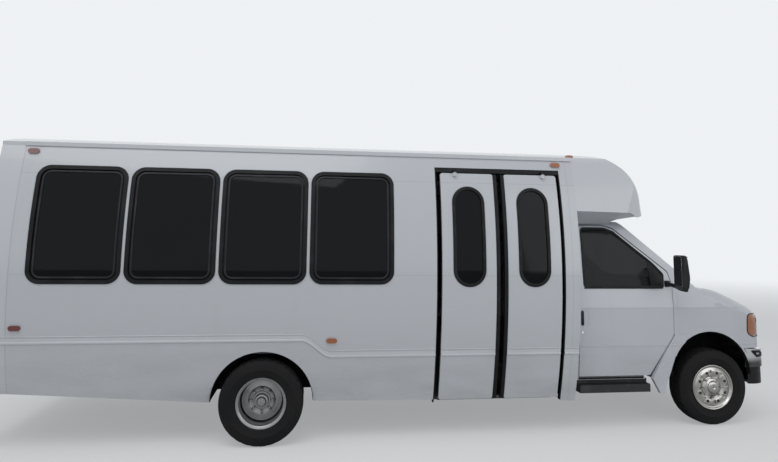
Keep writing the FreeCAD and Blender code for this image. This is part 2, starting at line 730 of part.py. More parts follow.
def windshield():
    ring = cab_solid(8).cut(cab_solid(8 + GLASS, BODY_FRONT_X - 10))
    return ring.common(prism_x(windshield_box(0), -1000, 100))


@lru_cache
def nose_shell():
    return nose_solid(0).cut(nose_solid(NOSE_SHELL))


HOOD_REAR_X = 20.0
HOOD_EDGE_Z = 1010.0


def hood():
    area = block(HOOD_REAR_X, 800, -HOOD_HALF, HOOD_HALF, HOOD_EDGE_Z, 1600)
    return nose_shell().common(area)


def front_arch():
    """Wheel arch opening in the right fender: round above, raked behind and upright in front."""
    arch = Part.makeCylinder(FRONT_ARCH_RADIUS, 900, Vector(FRONT_ARCH_X, -1300, FRONT_ARCH_Z),
                             Vector(0, 1, 0))
    below = prism_y([(FRONT_ARCH_X - 390, 690), (-560, 320), (FRONT_ARCH_X + 428, 320),
                     (FRONT_ARCH_X + 428, FRONT_ARCH_Z)], -1300, -400)
    return fuse([arch, below])


def upper_cab_room():
    """Space that the upper cab takes over the nose."""
    return windshield_sweep(0).common(block(-900, 100, -1090, 1090, COWL_BOTTOM, 1600))


def hood_rest():
    """Gutter on the right fender that carries the hood's side edge at a running gap."""
    back = nose_solid(NOSE_SHELL + LIP_THICK)
    seat = nose_solid(NOSE_SHELL + RUN).cut(back)
    seat = seat.common(block(100, 420, -HOOD_HALF - 40, -HOOD_HALF + LIP, 1000, 1500))
    web = nose_solid(NOSE_SHELL - 5).cut(back)
    web = web.common(block(100, 420, -HOOD_HALF - 40, -HOOD_HALF - SEAM, 1000, 1500))
    return fuse([seat, web])


@lru_cache
def fender():
    """Right fender with the flare that closes the gap behind the wheel."""
    front_x = DOOR_FRONT_X - SEAM + DOOR_RUN
    side = nose_shell().common(block(front_x, 800, -1300, -HOOD_HALF - SEAM, 500, 1600))
    edge = door_outline(0)[1:4]
    flare_line = [(x, z, r) for x, z, r in edge[:2]] + [(edge[2][0], 478), (-590, 333), (-530, 333),
                                                        (-300, 700), (-300, 900)]
    flare = prism_y([(front_x, 1200)] + flare_line + [(-300, 1200)], -CAB_HALF - 4, -CAB_HALF + 40)
    flare = flare.common(block(-900, 0, -1300, 0, 300, 900))
    return cut(fuse([side, flare, hood_rest()]), front_arch(), headlamp_box(), corner_box(),
               upper_cab_room(),
               block(360, 900, -1300, 1300, 0, BUMPER_Z[2] + 4))


def cowl_panel():
    """Vent panel between the hood and the foot of the windshield."""
    half = HOOD_HALF + SEAM
    panel = nose_shell().common(block(FIREWALL_X, HOOD_REAR_X - SEAM, -half, half, 1300, 1500))
    return cut(panel, upper_cab_room())


LAMP_Y = (-1010.0, -880.0, -640.0)
HEADLAMP_Z = (840.0, 1000.0)
CORNER_LAMP_X = 450.0
CORNER_LAMP_Z = (880.0, 1095.0)


def headlamp_box():
    return block(480, 700, LAMP_Y[1], LAMP_Y[2], *HEADLAMP_Z)


def corner_box():
    return block(CORNER_LAMP_X, 700, LAMP_Y[0], LAMP_Y[1], *CORNER_LAMP_Z)


def grille_panel():
    half = HOOD_HALF + SEAM
    foot = BUMPER_Z[2] + 4
    panel = nose_shell().common(block(450, 800, -half, half, foot, HOOD_EDGE_Z - SEAM))
    slots = [block(400, 700, -560, 560, z, z + 28) for z in range(780, 960, 48)]
    return cut(panel, headlamp_box(), mirror(headlamp_box()), *slots)


def headlamp():
    lens = nose_solid(4).cut(prism_z(nose_plan(60), 500, 1600))
    return lens.common(headlamp_box())


def corner_lamp():
    lens = nose_solid(2).cut(prism_z(nose_plan(50), 500, 1600))
    return lens.common(corner_box())


CAP_SHELL = 30.0
CAP_BOTTOM = 2135.0
CAP_STEP = 30.0
# How far the cap's outline steps back as it rises
CAP_LEVELS = [
    # share of rise, set back
    (-0.12, -8.0),
    (0.12, 18.0),
    (0.42, 73.0),
    (0.58, 156.0),
    (0.71, 273.0),
    (0.83, 450.0),
    (0.93, 650.0),
]


def cap_outline(z, back):
    """Outline of the cap at one height, as a wire."""
    half = side_y(CAP_BOTTOM) + CAP_STEP
    right = [(BODY_FRONT_X - 300, -half), (-1040 - back, -half + 2, 200),
             (-780 - back, -half + 90, 110), (-660 - back, -800, 350), (-585 - back, -300, 700)]
    points = right + [(p[0], -p[1]) + p[2:] for p in reversed(right)]
    return corner_wire(points, lambda p: Vector(p.x, p.y, z))


@lru_cache
def cap_solid(depth):
    """Fibreglass cap over the cab: a dome on the body's own section, with a flat lower lip."""
    d = depth
    rise = BODY_HEIGHT - CAP_BOTTOM
    levels = [cap_outline(CAP_BOTTOM + share * rise - d, back + d) for share, back in CAP_LEVELS]
    dome = Part.makeLoft(levels, True, False)
    under = [(BODY_FRONT_X, CAP_BOTTOM - 17 - d), (-930, CAP_BOTTOM - 27 - d, 60),
             (-850, CAP_BOTTOM - 69 - d, 20), (-800, CAP_BOTTOM - 55 - d, 20),
             (-560, CAP_BOTTOM), (-560, BODY_HEIGHT), (BODY_FRONT_X, BODY_HEIGHT)]
    section = body_solid(d, BODY_FRONT_X, 0, CAP_BOTTOM - 100 - d)
    return dome.common(section).common(prism_y(under, -1300, 1300))


def cap_soffit():
    """Sloping underside that joins the cap's lip to the cab roof."""
    def wedge(lift):
        low, high = CAB_ROOF_Z - 27 + lift, CAP_BOTTOM - 12 + lift
        half = side_y(CAP_BOTTOM) - CAP_SHELL / 2
        section = [(-half, high), (-900, low), (900, low), (half, high)]
        side = [(BODY_FRONT_X, low), (-1075, low), (-987, low + 43), (-700, low + 92),
                (-585, high), (BODY_FRONT_X, high)]
        return prism_x(section, BODY_FRONT_X, -560).common(prism_y(side, -1300, 1300))
    plan = Part.Face(cap_outline(1900, 6)).extrude(Vector(0, 0, 400))
    return wedge(0).cut(wedge(CAP_SHELL)).common(plan)


def front_cap():
    shell = cap_solid(0).cut(cap_solid(CAP_SHELL))
    return cut(fuse([shell, cap_soffit()]), cab_solid(0))


def bumper_plan(depth):
    """(x, y) outline of the front bumper, wrapped back at both corners."""
    d = depth
    front = FRONT_OVERHANG - d
    return [(340, -960 + d), (585 - d, -1003 + d, 190 - d), (front, -520, 700),
            (front, 520, 700), (585 - d, 1003 - d, 190 - d), (340, 960 - d)]


BUMPER_Z = (385.0, 565.0, 750.0)
BUMPER_REAR_X = 372.0
WHEEL_RUN = 10.0


def bumper_side(depth):
    """(x, z) outline of the bumper's end: sloped top, bulged face and tucked-in foot."""
    d = depth
    low, middle, high = BUMPER_Z
    return [(BUMPER_REAR_X - 10, high - d), (620 - d, high - 10 - d, 60), (FRONT_OVERHANG - d, 640, 60),
            (FRONT_OVERHANG - d, middle - 30, 60), (700 - d, low + d, 80), (BUMPER_REAR_X - 10, low + d)]


def bumper_band(z0, z1, outer, inner):
    """Layer of the bumper between two depths and two heights, closed above and below."""
    solid = prism_z(bumper_plan(outer), z0, z1).common(prism_y(bumper_side(outer), -1300, 1300))
    room = prism_z(bumper_plan(inner), z0 - 1, z1 + 1).common(prism_y(bumper_side(inner), -1300, 1300))
    return solid.cut(room).common(block(BUMPER_REAR_X, 1000, -1300, 1300, z0, z1))


def front_bumper():
    """Bright bumper bar with its two brackets on the rail ends."""
    bar = bumper_band(BUMPER_Z[1], BUMPER_Z[2], 0, 40)
    bracket = block(RAIL_FRONT_X, 716, -RAIL_Y, -RAIL_Y + RAIL_FLANGE, BUMPER_Z[1] + 15, 680)
    return fuse([bar, bracket, mirror(bracket)])


def bumper_valance():
    """Lower bumper part, cut back behind for the turned wheel."""
    reach = math.hypot(TYRE_RADIUS, FRONT_TYRE_Y + TYRE_WIDTH / 2 - KINGPIN_Y) + WHEEL_RUN
    room = rod((0, -KINGPIN_Y, 0), (0, -KINGPIN_Y, BUMPER_Z[1]), reach)
    return cut(bumper_band(BUMPER_Z[0], BUMPER_Z[1], 12, 34), room, mirror(room))


def rear_bumper():
    """Black rear bumper on arms under the rail ends."""
    z0, z1 = 400, 590
    outline = [(REAR_END_X, -1120, 40), (REAR_WALL_X - 1, -1120), (REAR_WALL_X - 1, 1120),
               (REAR_END_X, 1120, 40)]
    bar = prism_z(outline, z0, z1)
    arms = []
    for y in (-RAIL_Y, RAIL_Y - RAIL_FLANGE):
        arms.append(block(REAR_WALL_X - 20, -6600, y, y + RAIL_FLANGE, 430, SKIRT_REAR_Z - 3))
        arms.append(block(-6720, -6600, y, y + RAIL_FLANGE, 430, RAIL_TOP - RAIL_HEIGHT))
    return fuse([bar] + arms)


def running_board():
    board = block(DOOR_REAR_X, -700, -1008, -SILL_Y + 20, *BOARD_Z)
    hanger = block(DOOR_REAR_X, -700, -940, -SILL_Y, BOARD_Z[1], CAB_SILL_Z)
    return fuse([board, hanger])


def mirror_head():
    """Door mirror on its arm, on the right."""
    head = prism_z([(-522, -1178, 12), (-460, -1178, 30), (-422, -1255, 60), (-460, -1333, 30),
                    (-522, -1333, 12)], 1300, 1800)
    side = [(-522, 1367, 25), (-440, 1367, 25), (-418, 1480, 200), (-445, 1690, 60), (-522, 1714, 20)]
    head = head.common(prism_y(side, -1400, -1100))
    arm = rod((-470, -1005, 1400), (-470, -1200, 1400), 16)
    foot = block(-500, -450, -1020, -940, 1372, 1440)
    return cut(fuse([head, arm, foot]), cab_solid(0))


def oval_lamp(x, z, length=95.0, height=45.0):
    """Raised oval marker lamp on the right wall."""
    half, r = length / 2, height / 2 - 0.5
    lamp = side_slab(z - 40, z + 40, x - 80, x + 80, -16, 0)
    outline = [(x - half, z - height / 2, r), (x + half, z - height / 2, r),
               (x + half, z + height / 2, r), (x - half, z + height / 2, r)]
    return lamp.common(prism_y(outline, -1300, -600))


AMBER_LAMPS = [(-1678, GUTTER_Z - 44), (-3860, 906)]
RED_LAMPS = [(REAR_SEAM_X + 78, GUTTER_Z - 48), (REAR_SEAM_X + 79, 1040)]
TAIL_LAMP_Y = 1010.0


def tail_lamp(z, half):
    lamp = Part.makeCylinder(half, 14, Vector(REAR_WALL_X - 14, -TAIL_LAMP_Y + 90, z),
                             Vector(1, 0, 0))
    return lamp


def cab_seat():
    cushion = prism_y([(-1250, 1000, 30), (-1250, 1120, 30), (-830, 1140, 60), (-830, 1030, 40)],
                      -700, -240)
    back = prism_y([(-1260, 1100, 30), (-1140, 1100, 30), (-1250, 1700, 50), (-1350, 1700, 50)],
                   -690, -250)
    plinth = block(-1200, -900, -620, -320, CAB_FLOOR, 1020)
    return fuse([cushion, back, plinth])


def bench(x):
    """Two-place passenger bench with its pedestal, on the right."""
    cushion = block(x, x + 450, -1060, -300, FLOOR_TOP + 330, FLOOR_TOP + 450)
    back = prism_y([(x - 20, FLOOR_TOP + 330, 20), (x + 90, FLOOR_TOP + 330, 20),
                    (x + 10, FLOOR_TOP + 1060, 35), (x - 70, FLOOR_TOP + 1060, 35)], -1060, -300)
    pedestal = block(x + 120, x + 320, -900, -480, FLOOR_TOP, FLOOR_TOP + 340)
    return fuse([cushion, back, pedestal])


BENCH_FIRST_X = -6350.0
BENCH_PITCH = 780.0


def seats():
    right = [bench(BENCH_FIRST_X + i * BENCH_PITCH) for i in range(4)]
    left = [mirror(bench(BENCH_FIRST_X + i * BENCH_PITCH)) for i in range(6)]
    return [cab_seat(), mirror(cab_seat())] + right + left


def fuel_tank():
    return block(-5540, -4900, -345, 345, 400, 670)


def shaft_line(radius):
    return rod((-1450, 0, 590), (REAR_AXLE_X + 120, 0, TYRE_RADIUS + 10), radius)


def driveshaft():
    return cut(shaft_line(SHAFT_RADIUS), rear_axle(), engine_block())


def exhaust():
    """Silencer and tail pipe outside the left rail."""
    silencer = rod((-3500, 570, 560), (-2700, 570, 560), 105)
    lead = rod((-2700, 570, 560), (-1700, 570, 560), 32)
    tail = rod((-3900, 570, 560), (-3500, 570, 560), 32)
    strap = block(-3240, -3180, 470, 660, 560, FLOOR_BOTTOM)
    return fuse([silencer, lead, tail, strap])


def front_bulkhead():
    """Body front wall beside and above the cab."""
    wall = body_solid(WALL, BODY_FRONT_X - WALL, BODY_FRONT_X, 480)
    return cut(wall, prism_x(cab_section(CAB_SHELL), BODY_FRONT_X - 100, BODY_FRONT_X + 10),
               block(-2000, 0, -1300, 1300, FLOOR_BOTTOM, FLOOR_TOP),
               block(-2000, 0, -560, 560, 400, 900))


# Running gear
def tyre(y):
    """Tyre body as plain rings, so that it stays light."""
    w, r = TYRE_WIDTH / 2, TYRE_RADIUS
    profile = [(RIM_RADIUS + 0.3, -RIM_WIDTH / 2 + 10), (RIM_RADIUS + RIM_LIP, -RIM_WIDTH / 2),
               (r - 80, -w), (r - 22, -w + 14), (r, -w + 34), (r, w - 34), (r - 22, w - 14),
               (r - 80, w), (RIM_RADIUS + RIM_LIP, RIM_WIDTH / 2),
               (RIM_RADIUS + 0.3, RIM_WIDTH / 2 - 10)]
    wire = corner_wire([(a, b) for a, b in profile], lambda p: Vector(p.x, p.y, 0))
    ring = Part.Face(wire).revolve(Vector(0, 0, 0), Vector(0, 1, 0), 360)
    ring.translate(Vector(0, y, TYRE_RADIUS))
    return ring


def rim(y, dish, hub_radius, out):
    """Steel wheel: barrel and a disc set at a dish depth from the outer lip."""
    w = RIM_WIDTH / 2
    face = w - dish
    profile = [(RIM_RADIUS, -w + 6), (RIM_RADIUS + RIM_LIP - 2, -w - 2), (RIM_RADIUS - 12, -w - 2),
               (RIM_RADIUS - 14, face - 12), (hub_radius, face - 12), (hub_radius, face),
               (RIM_RADIUS - 14, face), (RIM_RADIUS - 12, w + 2), (RIM_RADIUS + RIM_LIP - 2, w + 2),
               (RIM_RADIUS, w - 6)]
    wire = corner_wire([(a, b * out) for a, b in profile], lambda p: Vector(p.x, p.y, 0))
    ring = Part.Face(wire).revolve(Vector(0, 0, 0), Vector(0, 1, 0), 360)
    ring.translate(Vector(0, y, TYRE_RADIUS))
    return ring


HUB_BORE = 62.0
AXLE_STUB = 30.0
HUB_CLEARANCE = 0.1


def front_wheel():
    """Front wheel with its bright dished cover, on the right."""
    disc = rim(-FRONT_TYRE_Y, 26, HUB_BORE, -1)
    hub = Part.makeCylinder(HUB_BORE, 120, Vector(0, -FRONT_TYRE_Y - 70, TYRE_RADIUS),
                            Vector(0, 1, 0))
    bore = Part.makeCylinder(AXLE_STUB + HUB_CLEARANCE, 110, Vector(0, -FRONT_TYRE_Y - 55, TYRE_RADIUS),
                             Vector(0, 1, 0))
    return fuse([disc, hub]).cut(bore)


def rear_wheel():
    """Twin rear rims on one hub, on the right."""
    outer = rim(-DUAL_OUTER_Y, 130, HUB_BORE, -1)
    inner = rim(-DUAL_OUTER_Y + DUAL_SPACING, 130, HUB_BORE, 1)
    hub = Part.makeCylinder(HUB_BORE + 20, 240,
                            Vector(0, -DUAL_OUTER_Y - 5, TYRE_RADIUS), Vector(0, 1, 0))
    bore = Part.makeCylinder(AXLE_STUB + HUB_CLEARANCE, 230, Vector(0, -DUAL_OUTER_Y + 20, TYRE_RADIUS),
                             Vector(0, 1, 0))
    return fuse([outer, inner, hub]).cut(bore)


def knuckle():
    """Steering knuckle on the right: stub shaft and an upright on the kingpin."""
    stub = rod((0, -KINGPIN_Y, TYRE_RADIUS), (0, -FRONT_TYRE_Y - 40, TYRE_RADIUS), AXLE_STUB)
    upright = rod((0, -KINGPIN_Y, TYRE_RADIUS - KNUCKLE_HALF),
                  (0, -KINGPIN_Y, TYRE_RADIUS + KNUCKLE_HALF), KNUCKLE_RADIUS)
    return fuse([stub, upright])


def front_axle():
    """Beam between the kingpins, with an eye above and below each knuckle."""
    beam = block(-45, 45, -KINGPIN_Y + 60, KINGPIN_Y - 60, TYRE_RADIUS - 60, TYRE_RADIUS + 40)
    ends = []
    for z0, z1 in ((TYRE_RADIUS - 160, TYRE_RADIUS - KNUCKLE_HALF - RUN),
                   (TYRE_RADIUS + KNUCKLE_HALF + RUN, TYRE_RADIUS + 160)):
        ends.append(block(-45, 45, -KINGPIN_Y - 30, -KINGPIN_Y + 90, z0, z1))
    post = block(-45, 45, -KINGPIN_Y + 40, -KINGPIN_Y + 90, TYRE_RADIUS - 160, TYRE_RADIUS + 160)
    towers = block(-50, 50, -RAIL_Y, -RAIL_Y + RAIL_FLANGE, TYRE_RADIUS + 40,
                   RAIL_TOP - RAIL_HEIGHT)
    side = fuse(ends + [post])
    return fuse([beam, side, mirror(side), towers, mirror(towers)])


def rear_axle():
    tube = rod((REAR_AXLE_X, -DUAL_OUTER_Y + 40, TYRE_RADIUS),
               (REAR_AXLE_X, DUAL_OUTER_Y - 40, TYRE_RADIUS), AXLE_STUB)
    casing = rod((REAR_AXLE_X, -620, TYRE_RADIUS), (REAR_AXLE_X, 620, TYRE_RADIUS), 55)
    bowl = Part.makeSphere(165, Vector(REAR_AXLE_X, 0, TYRE_RADIUS))
    pads = block(REAR_AXLE_X - 60, REAR_AXLE_X + 60, -RAIL_Y - 40, -RAIL_Y + 40, TYRE_RADIUS,
                 TYRE_RADIUS + 90)
    leaf = prism_y([(REAR_AXLE_X - 720, RAIL_TOP - RAIL_HEIGHT), (REAR_AXLE_X - 720, 520),
                    (REAR_AXLE_X - 60, TYRE_RADIUS + 90), (REAR_AXLE_X + 60, TYRE_RADIUS + 90),
                    (REAR_AXLE_X + 720, 520), (REAR_AXLE_X + 720, RAIL_TOP - RAIL_HEIGHT),
                    (REAR_AXLE_X + 660, RAIL_TOP - RAIL_HEIGHT), (REAR_AXLE_X, 500),
                    (REAR_AXLE_X - 660, RAIL_TOP - RAIL_HEIGHT)], -RAIL_Y - 35, -RAIL_Y + 35)
    return fuse([tube, casing, bowl, pads, mirror(pads), leaf, mirror(leaf)])


CROSS_XS = (-6500, -5600, -3500, -2600, 450)


def frame_rails():
    """Ladder frame: two channel rails and crossmembers."""
    z0 = RAIL_TOP - RAIL_HEIGHT
    rail = block(REAR_WALL_X + WALL, RAIL_FRONT_X, -RAIL_Y, -RAIL_Y + RAIL_FLANGE, z0, RAIL_TOP)
    hollow = block(REAR_WALL_X, RAIL_FRONT_X + 10, -RAIL_Y + RAIL_GAUGE, -RAIL_Y + RAIL_FLANGE + 1,
                   z0 + RAIL_GAUGE, RAIL_TOP - RAIL_GAUGE)
    rail = rail.cut(hollow)
    crosses = [block(x, x + 60, -RAIL_Y, RAIL_Y, z0 + 20, RAIL_TOP - 20) for x in CROSS_XS]
    return fuse([rail, mirror(rail)] + crosses).cut(shaft_line(SHAFT_RADIUS + 15))


def main():
    os.makedirs("parts", exist_ok=True)

    wall_right = side_wall(WINDOWS_RIGHT, True)
    wall_left = mirror(side_wall(WINDOWS_LEFT, False))
    save("side_wall_right", wall_right)
    save("side_wall_left", wall_left)
    frames_right, panes_right = side_glazing(WINDOWS_RIGHT)
    frames_left, panes_left = side_glazing(WINDOWS_LEFT)
    save("window_frames", *frames_right, *[mirror(f) for f in frames_left])
    save("side_glass", *panes_right, *[mirror(p) for p in panes_left])
    save("roof", roof())
    save("rear_cap", rear_cap())
    save("rear_door", rear_door())
    save("rear_door_glass", rear_door_glass())
    save("entrance_frame", entry_frame())
    for name, span in (("rear", LEAF_REAR_X), ("front", LEAF_FRONT_X)):
        save("entrance_leaf_" + name, entry_leaf(span))
        save("entrance_glass_" + name, entry_glass(span))
    save("stepwell", stepwell())
    save("floor", floor())
    save("floor_sills", *floor_sills())
    save("front_bulkhead", front_bulkhead())
    save("front_cap", front_cap())
    save("cab_shell", cab_shell())
    save("windshield", windshield())

    door = cab_door(SEAM).cut(cab_window())
    glass = cab_pane()
    save("cab_door_right", door)
    save("cab_door_left", mirror(door))
    save("cab_glass_right", glass)
    save("cab_glass_left", mirror(glass))
    save("hood", hood())
    save("cowl_panel", cowl_panel())
    save("fenders", both(fender()))
    save("grille_panel", grille_panel())
    save("headlamps", both(headlamp()))
    save("corner_lamps", both(corner_lamp()))

    save("tyre_front_right", tyre(-FRONT_TYRE_Y))
    save("tyre_front_left", tyre(FRONT_TYRE_Y))
    save("wheel_front_right", front_wheel())
    save("wheel_front_left", mirror(front_wheel()))
    rear_tyres = Part.makeCompound([tyre(-DUAL_OUTER_Y), tyre(-DUAL_OUTER_Y + DUAL_SPACING)])
    rear_rims = rear_wheel()
    for shape in (rear_tyres, rear_rims):
        shape.translate(Vector(REAR_AXLE_X, 0, 0))
    save("tyres_rear_right", rear_tyres)
    save("tyres_rear_left", mirror(rear_tyres))
    save("wheel_rear_right", rear_rims)
    save("wheel_rear_left", mirror(rear_rims))
    save("knuckle_right", knuckle())
    save("knuckle_left", mirror(knuckle()))
    save("front_axle", front_axle())
    save("rear_axle", rear_axle())
    save("frame_rails", frame_rails())
    save("front_bumper", front_bumper())
    save("bumper_valance", bumper_valance())
    save("rear_bumper", rear_bumper())
    save("running_boards", both(running_board()))
    save("mirror_right", mirror_head())
    save("mirror_left", mirror(mirror_head()))
    save("marker_lamps", *[both(oval_lamp(x, z)) for x, z in AMBER_LAMPS])
    tails = [tail_lamp(z, 48) for z in (1150, 1270, 1390)]
    save("tail_lamps", *[both(oval_lamp(x, z)) for x, z in RED_LAMPS], *[both(t) for t in tails])
    save("seats", *seats())
    save("dashboard", dashboard())
    save("steering_wheel", steering_wheel())
    save("engine_cover", engine_cover())
    save("engine_block", engine_block())
    save("fuel_tank", fuel_tank())
    save("driveshaft", driveshaft())
    save("exhaust", exhaust())


if __name__ == "__main__":
    main()
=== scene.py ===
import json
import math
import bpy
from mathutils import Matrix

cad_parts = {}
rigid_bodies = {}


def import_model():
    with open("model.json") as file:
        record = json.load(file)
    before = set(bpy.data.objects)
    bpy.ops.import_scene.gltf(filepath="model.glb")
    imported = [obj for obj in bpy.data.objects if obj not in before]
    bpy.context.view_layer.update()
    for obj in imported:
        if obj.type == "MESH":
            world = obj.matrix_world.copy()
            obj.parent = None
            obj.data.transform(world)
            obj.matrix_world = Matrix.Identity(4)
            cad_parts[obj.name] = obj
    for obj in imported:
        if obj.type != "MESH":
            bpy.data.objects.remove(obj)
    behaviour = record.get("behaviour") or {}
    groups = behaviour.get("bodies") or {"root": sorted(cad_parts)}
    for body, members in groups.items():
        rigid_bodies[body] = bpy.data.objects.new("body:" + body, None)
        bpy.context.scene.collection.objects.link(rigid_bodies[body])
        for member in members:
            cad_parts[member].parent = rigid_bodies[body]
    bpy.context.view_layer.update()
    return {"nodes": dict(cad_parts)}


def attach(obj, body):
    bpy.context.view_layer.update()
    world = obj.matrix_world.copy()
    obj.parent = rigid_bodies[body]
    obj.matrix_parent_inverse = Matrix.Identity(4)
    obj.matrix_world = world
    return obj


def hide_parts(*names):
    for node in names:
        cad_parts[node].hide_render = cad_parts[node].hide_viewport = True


bl_info = {
    "name": "Shuttle minibus finishes",
    "version": (1, 0, 0),
    "blender": (4, 5, 0),
    "location": "View3D > Sidebar > Minibus",
    "description": "Dresses the minibus frame with its paint, glass, tyres, trim and seats",
    "category": "Object",
}

import bpy
from mathutils import Matrix, Vector

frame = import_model()
NODES = frame["nodes"]

# Front axle and rear axle in the bus frame, metres
AXLE = 3.075
REAR_AXLE = AXLE - 4.470
TYRE_R = 0.372
FRONT_TYRE_Y = 0.877
REAR_TYRE_Y = (1.080, 0.810)


def side_y(z):
    """Half width of the barrel side at a height, in metres."""
    return 1.219 - 3.870 + math.sqrt(3.870 ** 2 - (z - 1.505) ** 2)


# Shader writing
class Value:
    """A shader socket that can be used in Python sums."""

    def __init__(self, nodes, socket):
        self.nodes = nodes
        self.socket = socket

    def _math(self, operation, other, swap=False):
        values = [self, other]
        if swap:
            values.reverse()
        return self.nodes.add("ShaderNodeMath", {"operation": operation}, *values)

    def __add__(self, other):
        return self._math("ADD", other)

    def __radd__(self, other):
        return self._math("ADD", other, True)

    def __sub__(self, other):
        return self._math("SUBTRACT", other)

    def __rsub__(self, other):
        return self._math("SUBTRACT", other, True)

    def __mul__(self, other):
        return self._math("MULTIPLY", other)

    def __rmul__(self, other):
        return self._math("MULTIPLY", other, True)

    def __truediv__(self, other):
        return self._math("DIVIDE", other)

    def __pow__(self, other):
        return self._math("POWER", other)

    def clamp(self):
        return self.nodes.add("ShaderNodeClamp", {}, self)

    def absolute(self):
        return self.nodes.add("ShaderNodeMath", {"operation": "ABSOLUTE"}, self)

    def larger(self, other):
        return self._math("MAXIMUM", other)

    def ramp(self, low, high):
        """0 at low and 1 at high, smooth between them."""
        settings = {"interpolation_type": "SMOOTHSTEP"}
        return self.nodes.add("ShaderNodeMapRange", settings, self, low, high, 0.0, 1.0)


class Finish:
    """One material on a Principled shader, with its nodes added in order."""

    def __init__(self, name, color, roughness, metallic=0.0, **constants):
        self.material = bpy.data.materials.new(name)
        self.material.use_nodes = True
        self.tree = self.material.node_tree
        self.shader = self.tree.nodes["Principled BSDF"]
        self.shader.inputs["Base Color"].default_value = (*color, 1.0)
        self.shader.inputs["Roughness"].default_value = roughness
        self.shader.inputs["Metallic"].default_value = metallic
        for socket, value in constants.items():
            self.shader.inputs[socket.replace("_", " ")].default_value = value

    def add(self, kind, settings, *inputs, output=0, **named):
        node = self.tree.nodes.new(kind)
        for key, value in settings.items():
            setattr(node, key, value)
        pairs = list(enumerate(inputs)) + [(k.replace("_", " "), v) for k, v in named.items()]
        for key, value in pairs:
            if isinstance(value, Value):
                self.tree.links.new(value.socket, node.inputs[key])
            elif value is not None:
                node.inputs[key].default_value = value
        return Value(self, node.outputs[output])

    def place(self, axis=None):
        """Object coordinates, or one of them."""
        point = self.add("ShaderNodeTexCoord", {}, output="Object")
        if axis is None:
            return point
        return self.add("ShaderNodeSeparateXYZ", {}, point, output=axis)

    def noise(self, scale, detail=3.0, stretch=None):
        point = self.place()
        if stretch:
            point = self.add("ShaderNodeMapping", {}, Vector=point, Scale=stretch)
        return self.add("ShaderNodeTexNoise", {}, Vector=point, Scale=scale, Detail=detail)

    def mix(self, amount, first, second):
        """Colour between two colours."""
        node = self.tree.nodes.new("ShaderNodeMix")
        node.data_type = "RGBA"
        for socket, value in zip((node.inputs[0], node.inputs[6], node.inputs[7]),
                                 (amount, first, second)):
            if isinstance(value, Value):
                self.tree.links.new(value.socket, socket)
            elif isinstance(value, tuple):
                socket.default_value = (*value, 1.0)
            else:
                socket.default_value = value
        return Value(self, node.outputs[2])

    def feed(self, socket, value):
        self.tree.links.new(value.socket, self.shader.inputs[socket])

    def bump(self, height, strength, distance):
        self.feed("Normal", self.add("ShaderNodeBump", {}, Strength=strength, Distance=distance,
                                     Height=height))

    def wear(self, color, worn, scale=3.0, low=0.45, high=0.75, stretch=None):
        """Base colour that drifts to a worn one in soft patches."""
        patches = self.noise(scale, 5.0, stretch).ramp(low, high)
        self.feed("Base Color", self.mix(patches, color, worn))
        return patches


def line(value, centre, half):
    """1 on a thin band around a coordinate, 0 away from it."""
    return 1 - (value - centre).absolute().ramp(half * 0.4, half)


def body_white(name, color, orange_peel, joints_and_shaded_creases=()):
    """Gloss white panel with road film low down, faint dark sheet joints and painted shade along crease
    lines.
    """
    paint = Finish(name, color, 0.24, Coat_Weight=0.35, Coat_Roughness=0.08)
    z = paint.place("Z")
    low_darkening = (1 - z.ramp(0.30, 1.15)) * paint.noise(2.2, 6.0, (1.0, 1.0, 3.0)).ramp(0.3, 0.8)
    streak = paint.noise(1.6, 4.0, (6.0, 6.0, 0.35)).ramp(0.52, 0.9) * 0.35
    dirt = (low_darkening * 0.55 + streak * 0.25).clamp()
    tone = paint.mix(dirt, color, (color[0] * 0.72, color[1] * 0.70, color[2] * 0.66))
    joint_and_crease_shade = None
    for axis, at, half in joints_and_shaded_creases:
        mark = line(paint.place(axis), at, half)
        joint_and_crease_shade = mark if joint_and_crease_shade is None else joint_and_crease_shade.larger(mark)
    if joint_and_crease_shade is not None:
        # Darkens along each line: a dark sheet joint on the body panels, and painted shade along the cab's
        # crease lines.
        tone = paint.mix(joint_and_crease_shade * 0.32, tone, (0.30, 0.31, 0.33))
    paint.feed("Base Color", tone)
    paint.feed("Roughness", dirt * 0.35 + 0.22)
    height = paint.noise(220.0, 2.0) * orange_peel
    if joint_and_crease_shade is not None:
        height = height - joint_and_crease_shade * 0.6
    paint.bump(height, 0.25, 0.002)
    return paint.material


def tinted_glass(name, color, alpha):
    glass = Finish(name, color, 0.04, Alpha=alpha, Specular_IOR_Level=0.17)
    glass.feed("Roughness", glass.noise(7.0, 4.0).ramp(0.3, 0.9) * 0.06 + 0.03)
    # Base colour lightens in broad noise patches: painted reflection on the glass.
    glass.feed("Base Color", glass.mix(glass.noise(1.3, 2.0), color, tuple(c * 1.7 for c in color)))
    return glass.material


def moulded(name, color, roughness, grain=420.0, depth=0.35):
    """Plastic or rubber with a fine moulded grain and scuffs."""
    plastic = Finish(name, color, roughness, Specular_IOR_Level=0.22)
    plastic.wear(color, tuple(min(1.0, c * 1.5 + 0.008) for c in color), 6.0)
    scuff = plastic.noise(18.0, 5.0).ramp(0.4, 0.8)
    plastic.feed("Roughness", scuff * 0.15 + (roughness - 0.06))
    plastic.bump(plastic.noise(grain, 2.0), depth, 0.0006)
    return plastic.material


def metal(name, color, roughness, grain=60.0, dirt=(0.16, 0.14, 0.12), soil=0.25):
    plate = Finish(name, color, roughness, 1.0)
    patches = plate.noise(9.0, 6.0).ramp(0.5, 0.85) * soil
    plate.feed("Base Color", plate.mix(patches, color, dirt))
    plate.feed("Roughness", patches * 0.5 + roughness)
    plate.bump(plate.noise(grain, 4.0), 0.15, 0.0008)
    return plate.material


